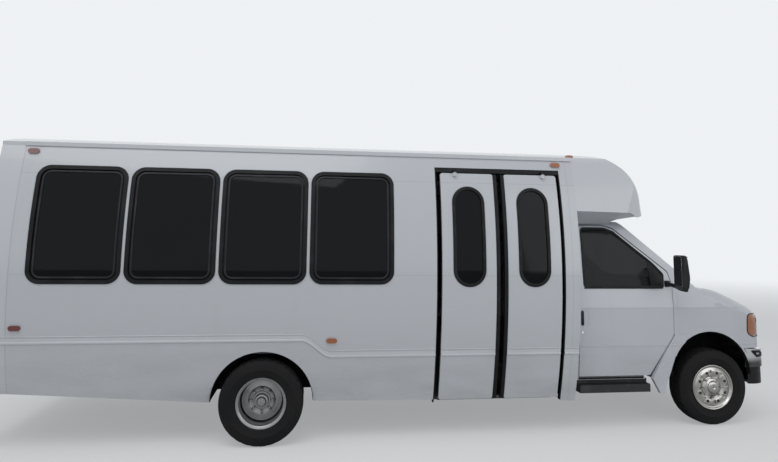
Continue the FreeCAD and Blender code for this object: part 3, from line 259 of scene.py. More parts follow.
def bumper_chrome():
    """Bright pressing with a painted dark reflection of the ground on its lower half, broken by noise
    patches.
    """
    bright = Finish("bumper_chrome", (0.62, 0.63, 0.64), 0.12, 1.0)
    # Lower half darkened: painted reflection of the ground in the chrome.
    low_darkening = 1 - bright.place("Z").ramp(0.600, 0.672)
    low_darkening = (low_darkening * 0.9 + bright.noise(7.0, 5.0).ramp(0.5, 0.9) * 0.3).clamp()
    bright.feed("Base Color", bright.mix(low_darkening, (0.60, 0.61, 0.63), (0.045, 0.047, 0.05)))
    bright.feed("Roughness", low_darkening * 0.16 + 0.10)
    bright.bump(bright.noise(26.0, 3.0), 0.12, 0.001)
    return bright.material


def lamp_lens(name, color, ribs):
    """Moulded lens with fine prisms behind its face."""
    lens = Finish(name, color, 0.12, Coat_Weight=0.8, Coat_Roughness=0.04)
    wave = lens.add("ShaderNodeTexWave", {"bands_direction": "Z"}, Vector=lens.place(), Scale=ribs)
    lens.feed("Base Color", lens.mix(wave * 0.5, color, tuple(c * 0.45 for c in color)))
    lens.bump(wave, 0.4, 0.002)
    return lens.material


def tyre_rubber():
    rubber = Finish("tyre_rubber", (0.012, 0.012, 0.013), 0.78, Specular_IOR_Level=0.2)
    dust = rubber.noise(5.0, 6.0).ramp(0.35, 0.8)
    rubber.feed("Base Color", rubber.mix(dust * 0.5, (0.008, 0.008, 0.009), (0.026, 0.025, 0.023)))
    rubber.feed("Roughness", dust * 0.12 + 0.7)
    rubber.bump(rubber.noise(260.0, 3.0), 0.3, 0.001)
    return rubber.material


def woven(name, color, accent):
    cloth = Finish(name, color, 0.9, Sheen_Weight=0.3)
    warp = cloth.add("ShaderNodeTexWave", {"bands_direction": "Z"}, Vector=cloth.place(), Scale=160.0)
    weft = cloth.add("ShaderNodeTexWave", {"bands_direction": "Y"}, Vector=cloth.place(), Scale=160.0)
    fleck = cloth.noise(90.0, 2.0).ramp(0.55, 0.62)
    cloth.feed("Base Color", cloth.mix(fleck, color, accent))
    cloth.bump(warp * weft, 0.5, 0.0012)
    return cloth.material


def floor_finish(color, backdrop):
    """Pale floor that keeps the shadow and meets the backdrop far out."""
    floor = Finish("floor_finish", color, 0.9)
    floor.feed("Base Color", floor.mix(floor.noise(0.8, 4.0) * 0.3, color,
                                       tuple(c * 0.95 for c in color)))
    far = floor.add("ShaderNodeVectorMath", {"operation": "LENGTH"}, floor.place(), output="Value")
    seen = floor.add("ShaderNodeLightPath", {}, output="Is Camera Ray")
    glow = floor.add("ShaderNodeEmission", {}, Color=(*backdrop, 1.0), Strength=1.0)
    mixed = floor.add("ShaderNodeMixShader", {})
    share = seen * (far.ramp(9.0, 34.0) * 0.62 + 0.38)
    mix = mixed.socket.node
    floor.tree.links.new(share.socket, mix.inputs[0])
    floor.tree.links.new(floor.shader.outputs[0], mix.inputs[1])
    floor.tree.links.new(glow.socket, mix.inputs[2])
    floor.tree.links.new(mixed.socket, floor.tree.nodes["Material Output"].inputs[0])
    return floor.material


def make_materials():
    # Cab crease lines at the door and fender, darkened as painted shade in the crease.
    cab_crease_shade_lines = (("Z", 1.164, 0.005), ("Z", 0.790, 0.005))
    body_seams = (("Z", 2.372, 0.004), ("Z", 1.492, 0.0035), ("X", AXLE - 6.600, 0.006),
                  ("X", AXLE - 1.575, 0.004))
    white = (0.575, 0.60, 0.635)
    look = {
        "body_white": body_white("body_white", white, 0.15, body_seams),
        "gelcoat_white": body_white("gelcoat_white", (0.60, 0.625, 0.66), 0.3),
        "cab_white": body_white("cab_white", (0.565, 0.59, 0.63), 0.12, cab_crease_shade_lines),
        "dark_glass": tinted_glass("dark_glass", (0.003, 0.0035, 0.0045), 0.95),
        "screen_glass": tinted_glass("screen_glass", (0.02, 0.025, 0.027), 0.45),
        "cab_glass": tinted_glass("cab_glass", (0.006, 0.007, 0.008), 0.82),
        "black_rubber": moulded("black_rubber", (0.006, 0.006, 0.007), 0.5, 300.0),
        "black_plastic": moulded("black_plastic", (0.011, 0.011, 0.012), 0.42),
        "grey_plastic": moulded("grey_plastic", (0.22, 0.225, 0.235), 0.5),
        "board_grey": moulded("board_grey", (0.035, 0.037, 0.040), 0.5),
        "deck": moulded("deck", (0.055, 0.055, 0.06), 0.75, 120.0, 0.6),
        "chrome": metal("chrome", (0.78, 0.79, 0.80), 0.07, 30.0, soil=0.12),
        "polished_cover": metal("polished_cover", (0.47, 0.46, 0.44), 0.16, 90.0, (0.07, 0.065, 0.06), 0.75),
        "rim_steel": metal("rim_steel", (0.30, 0.30, 0.30), 0.38, 120.0, (0.10, 0.085, 0.07), 0.6),
        "frame_paint": moulded("frame_paint", (0.022, 0.022, 0.022), 0.5, 60.0, 0.5),
        "cast": metal("cast", (0.085, 0.08, 0.078), 0.66, 180.0, (0.06, 0.045, 0.03), 0.7),
        "pipe": metal("pipe", (0.34, 0.31, 0.28), 0.45, 90.0, (0.18, 0.10, 0.06), 0.6),
        "bumper_chrome": bumper_chrome(),
        "amber": lamp_lens("amber", (0.42, 0.13, 0.03), 60.0),
        "red": lamp_lens("red", (0.17, 0.022, 0.014), 60.0),
        "clear_lens": lamp_lens("clear_lens", (0.62, 0.65, 0.68), 45.0),
        "tyre_rubber": tyre_rubber(),
        "seat_cloth": woven("seat_cloth", (0.035, 0.055, 0.11), (0.11, 0.15, 0.22)),
        "sash_black": moulded("sash_black", (0.020, 0.022, 0.027), 0.34, 500.0, 0.15),
        "mirror_glass": metal("mirror_glass", (0.80, 0.82, 0.85), 0.03, 20.0, soil=0.05),
        "plate_blank": moulded("plate_blank", (0.60, 0.61, 0.62), 0.4, 200.0, 0.2),
        # Near-black for the wheelhouse liners, also used as painted shade on arch lips, toe boards and
        # hand-hole cups.
        "arch_black_and_shade": moulded("arch_black_and_shade", (0.005, 0.005, 0.005), 0.8, 90.0, 0.6),
        "step_edge": moulded("step_edge", (0.10, 0.10, 0.10), 0.55, 200.0, 0.5),
    }
    return look


CAD_FINISH = {
    "body_white": ("side_wall_right", "side_wall_left", "entrance_leaf_rear",
                   "entrance_leaf_front", "rear_door"),
    "gelcoat_white": ("roof", "rear_cap", "front_cap", "front_bulkhead"),
    "cab_white": ("cab_shell", "cab_door_right", "cab_door_left", "hood", "fenders"),
    "dark_glass": ("side_glass", "rear_door_glass", "entrance_glass_rear",
                   "entrance_glass_front"),
    "cab_glass": ("cab_glass_right", "cab_glass_left"),
    "screen_glass": ("windshield",),
    "black_rubber": ("entrance_frame", "window_frames"),
    "black_plastic": ("mirror_right", "mirror_left", "bumper_valance", "rear_bumper",
                      "steering_wheel", "cowl_panel"),
    "board_grey": ("running_boards",),
    "grey_plastic": ("dashboard", "engine_cover"),
    "deck": ("floor", "stepwell"),
    "chrome": ("grille_panel",),
    "bumper_chrome": ("front_bumper",),
    "polished_cover": ("wheel_front_right", "wheel_front_left"),
    "rim_steel": ("wheel_rear_right", "wheel_rear_left"),
    "frame_paint": ("frame_rails", "floor_sills", "fuel_tank"),
    "cast": ("knuckle_right", "knuckle_left", "front_axle", "rear_axle", "engine_block",
             "driveshaft"),
    "pipe": ("exhaust",),
    "amber": ("marker_lamps", "corner_lamps"),
    "red": ("tail_lamps",),
    "clear_lens": ("headlamps",),
    "tyre_rubber": ("tyre_front_right", "tyre_front_left", "tyres_rear_right",
                    "tyres_rear_left"),
    "seat_cloth": ("seats",),
}


# Mesh work
def deselect():
    if bpy.context.mode != "OBJECT":
        bpy.ops.object.mode_set(mode="OBJECT")
    bpy.ops.object.select_all(action="DESELECT")


def start_cylinder(name, radius, depth, at, axis="Z", sides=32, fill="NGON"):
    """Cylinder primitive on an axis; it is still to be shaped."""
    turn = {"X": (0, math.pi / 2, 0), "Y": (math.pi / 2, 0, 0), "Z": (0, 0, 0)}[axis]
    deselect()
    bpy.ops.mesh.primitive_cylinder_add(vertices=sides, radius=radius, depth=depth,
                                        end_fill_type=fill, location=at, rotation=turn)
    return named(name)


def start_box(name, low, high):
    """Box primitive between two corners; it is still to be shaped."""
    deselect()
    centre = [(a + b) / 2 for a, b in zip(low, high)]
    size = [b - a for a, b in zip(low, high)]
    bpy.ops.mesh.primitive_cube_add(size=1.0, location=centre, scale=size)
    return named(name)


def start_ring(name, points):
    """Flat outline through the given points, from a circle primitive."""
    deselect()
    bpy.ops.mesh.primitive_circle_add(vertices=len(points), radius=1.0, fill_type="NOTHING")
    piece = named(name)
    for vertex, point in zip(piece.data.vertices, points):
        vertex.co = point
    return piece


def named(name):
    piece = bpy.context.object
    piece.name = name
    piece.data.name = name
    bpy.ops.object.transform_apply(location=True, rotation=True, scale=True)
    return piece


def edit(piece, kind="FACE", where=None):
    """Opens a piece for editing with the parts selected that satisfy a test."""
    deselect()
    bpy.context.view_layer.objects.active = piece
    piece.select_set(True)
    bpy.ops.object.mode_set(mode="EDIT")
    bpy.ops.mesh.select_mode(type=kind)
    bpy.ops.mesh.select_all(action="DESELECT")
    bpy.ops.object.mode_set(mode="OBJECT")
    mesh = piece.data
    parts = {"FACE": mesh.polygons, "EDGE": mesh.edges, "VERT": mesh.vertices}[kind]
    for part in parts:
        if kind == "EDGE":
            ends = [mesh.vertices[i].co for i in part.vertices]
            part.select = where is None or bool(where(ends[0], ends[1]))
        elif kind == "FACE":
            part.select = where is None or bool(where(part.center, part.normal))
        else:
            part.select = where is None or bool(where(part.co))
    bpy.ops.object.mode_set(mode="EDIT")


def close_edit():
    bpy.ops.object.mode_set(mode="OBJECT")


def extrude(offset, scale=None, centre=None):
    bpy.ops.mesh.extrude_region_move(TRANSFORM_OT_translate={"value": offset})
    if scale:
        bpy.ops.transform.resize(value=scale, center_override=centre)


def modify(piece, kind, **settings):
    deselect()
    bpy.context.view_layer.objects.active = piece
    piece.select_set(True)
    modifier = piece.modifiers.new(kind.title(), kind)
    for key, value in settings.items():
        setattr(modifier, key, value)
    bpy.ops.object.modifier_apply(modifier=modifier.name)


def bevel(piece, width, segments=2, angle=0.5):
    modify(piece, "BEVEL", width=width, segments=segments, limit_method="ANGLE", angle_limit=angle)


def smooth(piece, angle=0.6):
    deselect()
    bpy.context.view_layer.objects.active = piece
    piece.select_set(True)
    bpy.ops.object.shade_smooth_by_angle(angle=angle)


def paint(piece, material, slot, body, *replaced):
    """Gives a piece its finish and its body, and hides the nodes that it stands for."""
    piece.data.materials.clear()
    piece.data.materials.append(material)
    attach(piece, body)
    if replaced:
        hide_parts(*replaced)
    return piece


def join(name, pieces):
    deselect()
    for piece in pieces:
        piece.select_set(True)
    bpy.context.view_layer.objects.active = pieces[0]
    if len(pieces) > 1:
        bpy.ops.object.join()
    piece = bpy.context.object
    piece.name = name
    piece.data.name = name
    return piece


def copy(piece, name, move=(0, 0, 0), turn=None, about=(0, 0, 0)):
    """Copy with its own mesh, moved and turned in its mesh."""
    twin = piece.copy()
    twin.data = piece.data.copy()
    bpy.context.scene.collection.objects.link(twin)
    twin.name = name
    twin.data.name = name
    place = Matrix.Translation(Vector(move))
    if turn is not None:
        about = Vector(about)
        place = place @ Matrix.Translation(about) @ turn @ Matrix.Translation(-about)
    twin.data.transform(place)
    return twin


def mirrored(piece, name):
    """Copy on the other side of the bus, with its faces turned the right way again."""
    twin = copy(piece, name)
    twin.data.transform(Matrix.Scale(-1, 4, Vector((0, 1, 0))))
    edit(twin)
    bpy.ops.mesh.flip_normals()
    close_edit()
    return twin


def sweep(name, section, path):
    """Closed section carried along a path by extruding it point by point."""
    first = Vector(path[0])
    piece = start_ring(name, [first + Vector(p) for p in section])
    edit(piece, "VERT")
    bpy.ops.mesh.edge_face_add()
    for a, b in zip(path, path[1:]):
        bpy.ops.mesh.extrude_region_move(
            TRANSFORM_OT_translate={"value": Vector(b) - Vector(a)})
    bpy.ops.mesh.select_all(action="SELECT")
    bpy.ops.mesh.normals_make_consistent(inside=False)
    close_edit()
    return piece


def oval_section(half_y, half_z, sides=10):
    angles = [2 * math.pi * i / sides for i in range(sides)]
    return [(0, half_y * math.cos(a), half_z * math.sin(a)) for a in angles]


def ring_points(spans, z0, z1, radius, grow, steps=7):
    """Rounded rectangle in the x-z plane, as points in order."""
    x0, x1 = spans
    corners = ((x1 + grow, z0 - grow, -90), (x1 + grow, z1 + grow, 0),
               (x0 - grow, z1 + grow, 90), (x0 - grow, z0 - grow, 180))
    r = radius + grow
    points = []
    for (cx, cz, start), (sx, sz) in zip(corners, ((-1, 1), (-1, -1), (1, -1), (1, 1))):
        for i in range(steps + 1):
            a = math.radians(start + 90 * i / steps)
            points.append((cx + sx * r + r * math.cos(a), cz + sz * r + r * math.sin(a)))
    return points


def matched(outer, inner, stride=0.09):
    """The two outlines with places added along their long sides, as many in each."""
    long_sides = []
    for i, (a, b) in enumerate(zip(outer, outer[1:] + outer[:1])):
        long_sides.append(max(1, round((Vector(b) - Vector(a)).length / stride)))

    def filled(outline):
        points = []
        for count, a, b in zip(long_sides, outline, outline[1:] + outline[:1]):
            points += [tuple(Vector(a).lerp(Vector(b), k / count)) for k in range(count)]
        return points

    return filled(outer), filled(inner)


def band(name, outer, inner, wall, proud, surface=side_y):
    """Flat ring between two outlines, laid on the right side and given a thickness."""
    outer, inner = matched(outer, inner)
    piece = start_ring(name, [(x, -surface(z) - proud, z) for x, z in outer])
    edit(piece, "EDGE")
    bpy.ops.mesh.extrude_region_move()
    close_edit()
    count = len(outer)
    for vertex, (x, z) in zip(list(piece.data.vertices)[count:], inner):
        vertex.co = (x, -surface(z) - proud, z)
    edit(piece)
    bpy.ops.mesh.normals_make_consistent(inside=False)
    close_edit()
    modify(piece, "SOLIDIFY", thickness=wall, offset=0.0)
    bevel(piece, wall * 0.3, 2, 0.8)
    smooth(piece, 0.7)
    return piece


def cast(nodes, start, way, lift=0.0):
    """Where a ray first meets any of the nodes, lifted off their skin."""
    way = Vector(way).normalized()
    hits = []
    for node in nodes:
        hit, where, normal, face = NODES[node].ray_cast(Vector(start), way)
        if hit:
            hits.append(((where - Vector(start)).length, where))
    if not hits:
        raise RuntimeError("nothing of %s lies at %s" % (nodes, tuple(start)))
    return min(hits)[1] - way * lift


def wrap(name, outer, inner, wall, nodes, way, lift=0.0, stride=0.09):
    """Ring between two outlines of points, laid on the nodes that a ray along way meets."""
    outer, inner = matched(outer, inner, stride)
    outside = [cast(nodes, point, way, lift) for point in outer]
    inside = [cast(nodes, point, way, lift) for point in inner]
    piece = start_ring(name, outside)
    edit(piece, "EDGE")
    bpy.ops.mesh.extrude_region_move()
    close_edit()
    for vertex, point in zip(list(piece.data.vertices)[len(outside):], inside):
        vertex.co = point
    edit(piece)
    bpy.ops.mesh.normals_make_consistent(inside=False)
    close_edit()
    modify(piece, "SOLIDIFY", thickness=wall, offset=0.0)
    bevel(piece, wall * 0.3, 2, 0.8)
    smooth(piece, 0.7)
    return piece


def slab(name, points, offset, edge=0.0, steps=2):
    """Flat outline, filled and extruded by an offset, with its rims rounded."""
    piece = start_ring(name, points)
    edit(piece, "VERT")
    bpy.ops.mesh.edge_face_add()
    bpy.ops.mesh.extrude_region_move(TRANSFORM_OT_translate={"value": offset})
    bpy.ops.mesh.select_all(action="SELECT")
    bpy.ops.mesh.normals_make_consistent(inside=False)
    close_edit()
    if edge:
        bevel(piece, edge, steps, 0.6)
    smooth(piece)
    return piece


def tube(name, path, radius, cyclic=False, order=3):
    """Round bar along a smooth path through its control points."""
    data = bpy.data.curves.new(name, "CURVE")
    data.dimensions = "3D"
    data.bevel_depth = radius
    data.bevel_resolution = 3
    data.use_fill_caps = True
    spline = data.splines.new("NURBS")
    spline.points.add(len(path) - 1)
    for place, point in zip(spline.points, path):
        place.co = (*point, 1.0)
    spline.order_u = order
    spline.use_endpoint_u = not cyclic
    spline.use_cyclic_u = cyclic
    spline.resolution_u = 6
    piece = bpy.data.objects.new(name, data)
    bpy.context.scene.collection.objects.link(piece)
    deselect()
    bpy.context.view_layer.objects.active = piece
    piece.select_set(True)
    bpy.ops.object.convert(target="MESH")
    piece = bpy.context.object
    piece.name = name
    piece.data.name = name
    smooth(piece, 0.8)
    return piece


def rounded(points, steps=5):
    """Closed outline of (u, v, radius) corners, as points with their corners rounded."""
    outline = []
    count = len(points)
    for i, (u, v, radius) in enumerate(points):
        here = Vector((u, v))
        before = (Vector(points[i - 1][:2]) - here).normalized()
        after = (Vector(points[(i + 1) % count][:2]) - here).normalized()
        half = before.angle(after) / 2
        reach = radius / math.tan(half)
        middle = here + (before + after).normalized() * (radius / math.sin(half))
        a, b = here + before * reach - middle, here + after * reach - middle
        turn = a.angle_signed(b)
        for k in range(steps + 1):
            spot = a.copy()
            spot.rotate(Matrix.Rotation(-turn * k / steps, 2))
            outline.append(tuple(middle + spot))
    return outline


def inset_outline(points, distance):
    """Outline moved inwards by a distance, corner by corner."""
    area = sum(a[0] * b[1] - b[0] * a[1] for a, b in zip(points, points[1:] + points[:1]))
    side = 1 if area > 0 else -1
    moved = []
    for i, point in enumerate(points):
        here = Vector(point[:2])
        before = (here - Vector(points[i - 1][:2])).normalized()
        after = (Vector(points[(i + 1) % len(points)][:2]) - here).normalized()
        n1, n2 = Vector((-before.y, before.x)) * side, Vector((-after.y, after.x)) * side
        spot = here + (n1 + n2) * (distance / (1 + n1.dot(n2)))
        radius = max(0.004, point[2] - distance) if len(point) > 2 else None
        moved.append((spot.x, spot.y) if radius is None else (spot.x, spot.y, radius))
    return moved


def both_sides(piece, name, left_body, material, slot, *replaced):
    """Left copy of a piece made for the right side."""
    return paint(mirrored(piece, name), material, slot, left_body, *replaced)


def spun(name, profile, centre, steps, outward=-1):
    """Closed profile of (radius, y) turned about the y axis of a wheel."""
    x, middle, z = centre
    piece = start_ring(name, [(x + r, middle + outward * y, z) for r, y in profile])
    edit(piece, "EDGE")
    bpy.ops.mesh.spin(steps=steps, angle=2 * math.pi, center=centre, axis=(0, 1, 0))
    bpy.ops.mesh.select_all(action="SELECT")
    bpy.ops.mesh.remove_doubles(threshold=0.00002)
    bpy.ops.mesh.normals_make_consistent(inside=False)
    close_edit()
    return piece


def around(centre, count, radius, phase=0.0):
    """Places evenly spaced on a circle about a wheel's y axis."""
    for i in range(count):
        a = 2 * math.pi * (i + phase) / count
        yield (centre[0] + radius * math.cos(a), centre[1], centre[2] + radius * math.sin(a)), a


def nut(name, at, outward, size=0.0125, height=0.024):
    """Wheel nut: hexagon with a chamfered crown."""
    piece = start_cylinder(name, size, height, at, "Y", 6)
    edit(piece, "FACE", lambda c, n: n.y * outward > 0.9)
    bpy.ops.mesh.inset(thickness=size * 0.18)
    bpy.ops.transform.translate(value=(0, outward * height * 0.22, 0))
    bpy.ops.mesh.inset(thickness=size * 0.25)
    close_edit()
    bevel(piece, 0.0009, 1)
    return piece


# Tyre profile as (radius, half width), from one bead round the tread to the other
TYRE_SIDE = ((0.2035, 0.072), (0.214, 0.080), (0.2225, 0.086), (0.236, 0.0935), (0.2365, 0.0952),
             (0.2440, 0.0968), (0.262, 0.1045), (0.284, 0.1090), (0.2855, 0.1102), (0.2905, 0.1104),
             (0.292, 0.1095), (0.312, 0.1080), (0.330, 0.1035), (0.343, 0.0985), (0.352, 0.0945),
             (0.3605, 0.0890), (0.3665, 0.0800))
TREAD = ((0.3690, 0.0660), (0.3600, 0.0645), (0.3600, 0.0565), (0.3705, 0.0550),
         (0.3712, 0.0360), (0.3610, 0.0345), (0.3610, 0.0265), (0.3716, 0.0250),
         (0.3718, 0.0080), (0.3620, 0.0065))
TREAD_STEPS = 120


def make_tyre(name, centre):
    """Road tyre with ribbed tread, cut shoulder blocks and ringed sidewalls."""
    half = list(TYRE_SIDE) + list(TREAD)
    profile = half + [(r, -y) for r, y in reversed(half)]
    piece = spun(name, profile, centre, TREAD_STEPS)

    def block_gap(c, n):
        r = math.hypot(c.x - centre[0], c.z - centre[2])
        side = c.y - centre[1]
        turn = math.atan2(c.z - centre[2], c.x - centre[0]) / (2 * math.pi) * TREAD_STEPS
        shift = 0 if side > 0 else 2
        shoulder = r > 0.3500 and 0.066 < abs(side) < 0.0885
        rib = r > 0.3700 and abs(side) < 0.055
        return (shoulder and int(turn + shift) % 4 == 0) or (rib and int(turn + shift + 1) % 4 == 0)

    edit(piece, "FACE", block_gap)
    bpy.ops.mesh.inset(thickness=0.0006, depth=0.0)
    bpy.ops.mesh.extrude_region_shrink_fatten(TRANSFORM_OT_shrink_fatten={"value": -0.006})
    close_edit()
    smooth(piece, 0.5)
    return piece


# Right front wheel cover as (radius, outward distance from the tyre's middle)
COVER = ((0.2035, 0.066), (0.2035, 0.079), (0.2170, 0.0855), (0.2200, 0.0905), (0.2185, 0.0935),
         (0.2125, 0.0935), (0.2065, 0.0895), (0.2020, 0.0800), (0.1960, 0.0745), (0.1880, 0.0740),
         (0.1800, 0.0775), (0.1720, 0.0820), (0.1560, 0.0850), (0.1400, 0.0850), (0.1240, 0.0815),
         (0.1120, 0.0740), (0.1050, 0.0690), (0.0980, 0.0690), (0.0900, 0.0740), (0.0820, 0.0830),
         (0.0700, 0.0850), (0.0610, 0.0860), (0.0570, 0.1000), (0.0520, 0.1060), (0.0400, 0.1095),
         (0.0200, 0.1110), (0.0004, 0.1110), (0.0004, 0.066))
# Steps round a disc; each of its eight hand holes takes three of ten
DISC_STEPS = 80


def hole_test(centre, outward, reach):
    """Test for the outer faces of a disc that lie in its hand holes."""
    def inside(c, n):
        r = math.hypot(c.x - centre[0], c.z - centre[2])
        turn = int(math.atan2(c.z - centre[2], c.x - centre[0]) / (2 * math.pi) * DISC_STEPS
                   + DISC_STEPS)
        return 0.124 < r < reach and turn % 10 in (0, 1, 2) and n.y * outward > 0.5

    return inside


def make_cover(name, centre, outward):
    """Bright wheel cover with round hand holes and a domed middle."""
    piece = spun(name, COVER, centre, DISC_STEPS, outward)

    edit(piece, "FACE", hole_test(centre, outward, 0.172))
    bpy.ops.mesh.inset(thickness=0.004)
    bpy.ops.mesh.extrude_region_move(TRANSFORM_OT_translate={"value": (0, -outward * 0.012, 0)})
    bpy.ops.mesh.inset(thickness=0.002)
    close_edit()
    modify(piece, "SUBSURF", levels=1, render_levels=1)
    smooth(piece, 0.8)
    return piece


def hand_hole(name, at, outward, cover):
    """Dark round cup let into the wheel cover, on the cover's own face; its black is painted shade inside
    the hand hole.
    """
    start = Vector((at[0], at[1] + outward * 0.4, at[2]))
    hit, face, normal, index = cover.ray_cast(start, Vector((0, -outward, 0)))
    if not hit:
        raise RuntimeError("no cover behind " + name)
    cup = start_cylinder(name, 0.0135, 0.006, face, "Y", 20)
    edit(cup, "FACE", lambda c, n: n.y * outward > 0.9)
    bpy.ops.mesh.inset(thickness=0.0025)
    bpy.ops.mesh.extrude_region_move(TRANSFORM_OT_translate={"value": (0, -outward * 0.003, 0)})
    close_edit()
    smooth(cup, 0.5)
    return cup


RIM = ((0.2025, -0.0740), (0.2150, -0.0790), (0.2195, -0.0840), (0.2195, -0.0868), (0.2080, -0.0840),
       (0.1950, -0.0760), (0.1905, -0.0560), (0.1900, 0.0000), (0.1900, 0.0300), (0.1930, 0.0560),
       (0.1960, 0.0760), (0.2080, 0.0840), (0.2195, 0.0868), (0.2195, 0.0840), (0.2150, 0.0790),
       (0.2025, 0.0740), (0.2000, 0.0560), (0.1985, 0.0000), (0.2000, -0.0560))
REAR_DISC = ((0.1905, -0.0620), (0.1850, -0.0480), (0.1760, -0.0400), (0.1600, -0.0390),
             (0.1500, -0.0370), (0.1240, -0.0330), (0.1140, -0.0400), (0.1080, -0.0440),
             (0.0820, -0.0440), (0.0780, -0.0440), (0.0780, -0.0520), (0.1100, -0.0520),
             (0.1240, -0.0410), (0.1500, -0.0450), (0.1780, -0.0480), (0.1860, -0.0700))
HUB_CAP = ((0.0785, -0.1200), (0.0785, -0.0340), (0.0750, -0.0300), (0.0640, -0.0290),
           (0.0600, -0.0240), (0.0590, 0.0080), (0.0560, 0.0140), (0.0440, 0.0170), (0.0400, 0.0230),
           (0.0370, 0.0330), (0.0340, 0.0370), (0.0004, 0.0390), (0.0004, -0.1200))


def make_rear_rim(name, centre, outward):
    """Rear rim: barrel, deep dished disc with hand holes, hub and wheel nuts."""
    barrel = spun(name + "_barrel", RIM, centre, 72, outward)
    disc = spun(name + "_disc", REAR_DISC, centre, DISC_STEPS, outward)

    edit(disc, "FACE", hole_test(centre, outward, 0.162))
    bpy.ops.mesh.inset(thickness=0.003)
    bpy.ops.mesh.extrude_region_move(TRANSFORM_OT_translate={"value": (0, -outward * 0.004, 0)})
    close_edit()
    parts = [barrel, disc]
    for i, (at, a) in enumerate(around(centre, 8, 0.0955)):
        parts.append(nut("%s_nut_%d" % (name, i), (at[0], at[1] - outward * 0.030, at[2]), outward))
    piece = join(name, parts)
    smooth(piece, 0.6)
    return piece


def slats(z0, z1, count):
    return [z0 + (z1 - z0) * i / count for i in range(count + 1)]


def upright(name, x0, x1, z0, z1, depth, proud):
    """Rubber strip that runs up the barrel side between two x positions."""
    half, middle = (x1 - x0) / 2, (x0 + x1) / 2
    section = [(-half, 0, 0), (-half + 0.004, -proud, 0), (half - 0.004, -proud, 0), (half, 0, 0),
               (half, depth, 0), (-half, depth, 0)]
    path = [(middle, -side_y(z), z) for z in slats(z0, z1, 24)]
    piece = sweep(name, section, path)
    smooth(piece, 0.5)
    return piece


def capsule(middle, half, z0, z1, grow, steps=9):
    return ring_points((middle - half, middle + half), z0, z1, half - 0.0005, grow, steps)


# Belt moulding: height at the back, height at the front, half width and half height of each bead
BELT_DROP = (AXLE - 4.130, AXLE - 3.860)
BELT_BEADS = (("thin", 0.9655, 0.8165, 0.0050, 0.0045), ("thick", 0.9135, 0.7640, 0.0095, 0.0150),
              ("strip", 0.9370, 0.7880, 0.0025, 0.0330))
BELT_FROM = AXLE - 6.780
ARCH_Z = 0.358
BODY_FRONT = AXLE - 1.500


def belt_height(x, rear, front):
    t = min(1.0, max(0.0, (x - BELT_DROP[0]) / (BELT_DROP[1] - BELT_DROP[0])))
    return rear + (front - rear) * t * t * (3 - 2 * t)


def belt_run(name, x0, x1, rear, front, half_y, half_z):
    """One bead of the belt moulding between two x positions, on the right side."""
    stops = [x0, x1]
    stops += [BELT_DROP[0] + (BELT_DROP[1] - BELT_DROP[0]) * i / 14 for i in range(15)]
    stops = sorted(set(x for x in stops if x0 <= x <= x1))
    path = []
    for x in stops:
        z = belt_height(x, rear, front)
        path.append((x, -side_y(z), z))
    piece = sweep(name, oval_section(half_y, half_z, 12), path)
    smooth(piece, 0.9)
    return piece


ENTRY = (AXLE - 2.901, AXLE - 1.647)
LEAF_REAR = (AXLE - 2.849, AXLE - 2.326)
LEAF_FRONT = (AXLE - 2.219, AXLE - 1.686)
LEAF_Z = (0.335, 2.465)
FRONT_PILLAR = (AXLE - 1.647, AXLE - 1.502)


# Side windows, from the rear forward
WINDOW_REAR = AXLE - 6.458
WINDOW_PITCH, WINDOW_LENGTH = 0.797, 0.755
WINDOW_Z = (1.418, 2.438)

# Cab door window, as (x, z, corner radius)
CAB_WINDOW = [(AXLE + x, z, r) for x, z, r in (
    (-1.318, 1.965, 0.040), (-1.060, 1.965, 0.060), (-0.965, 1.930, 0.060), (-0.590, 1.612, 0.060),
    (-0.492, 1.500, 0.030), (-0.515, 1.366, 0.020), (-1.362, 1.366, 0.030))]
SAIL = [(AXLE + x, z) for x, z in ((-0.640, 1.380), (-0.522, 1.380), (-0.505, 1.494), (-0.592, 1.594),
                                   (-0.640, 1.634))]
REAR_WALL = AXLE - 6.800
REAR_DOOR = [(-0.412, 0.868, 0.040), (0.412, 0.868, 0.040), (0.412, 2.412, 0.090),
             (-0.412, 2.412, 0.090)]
REAR_GLASS = [(-0.300, 1.500, 0.070), (0.300, 1.500, 0.070), (0.300, 2.250, 0.070),
              (-0.300, 2.250, 0.070)]
WINDSHIELD = [(-0.860, 1.400, 0.060), (0.860, 1.400, 0.060), (0.760, 1.975, 0.060),
              (-0.760, 1.975, 0.060)]
BENCH_FIRST, BENCH_PITCH = AXLE - 6.350, 0.780
FLOOR_TOP = 0.840


class StageSettings(bpy.types.PropertyGroup):
    floor_size: bpy.props.FloatProperty(
        name="Floor size", description="Edge length of the square floor", default=120.0,
        unit="LENGTH")
    floor_color: bpy.props.FloatVectorProperty(
        name="Floor colour", description="Colour of the pale floor", subtype="COLOR", size=3,
        default=(0.80, 0.80, 0.80))
    backdrop_color: bpy.props.FloatVectorProperty(
        name="Backdrop colour", description="Colour behind the floor", subtype="COLOR", size=3,
        default=(0.86, 0.88, 0.90))
    key_power: bpy.props.FloatProperty(
        name="Key light", description="Power of the large overhead light", default=445.0,
        unit="POWER")
    sky_level: bpy.props.FloatProperty(
        name="Sky level", description="Strength of the soft light from all round", default=0.39)


class WheelSettings(bpy.types.PropertyGroup):
    nut_count: bpy.props.IntProperty(
        name="Wheel nuts", description="Nuts on each wheel", default=8)
    nut_circle: bpy.props.FloatProperty(
        name="Nut circle", description="Radius of the circle of the front nuts", default=0.0940,
        unit="LENGTH")


class TrimSettings(bpy.types.PropertyGroup):
    gasket_width: bpy.props.FloatProperty(
        name="Gasket width", description="Width of the rubber round the entrance glass",
        default=0.020, unit="LENGTH")
    seal_proud: bpy.props.FloatProperty(
        name="Seal height", description="How far the door rubbers stand proud", default=0.006,
        unit="LENGTH")


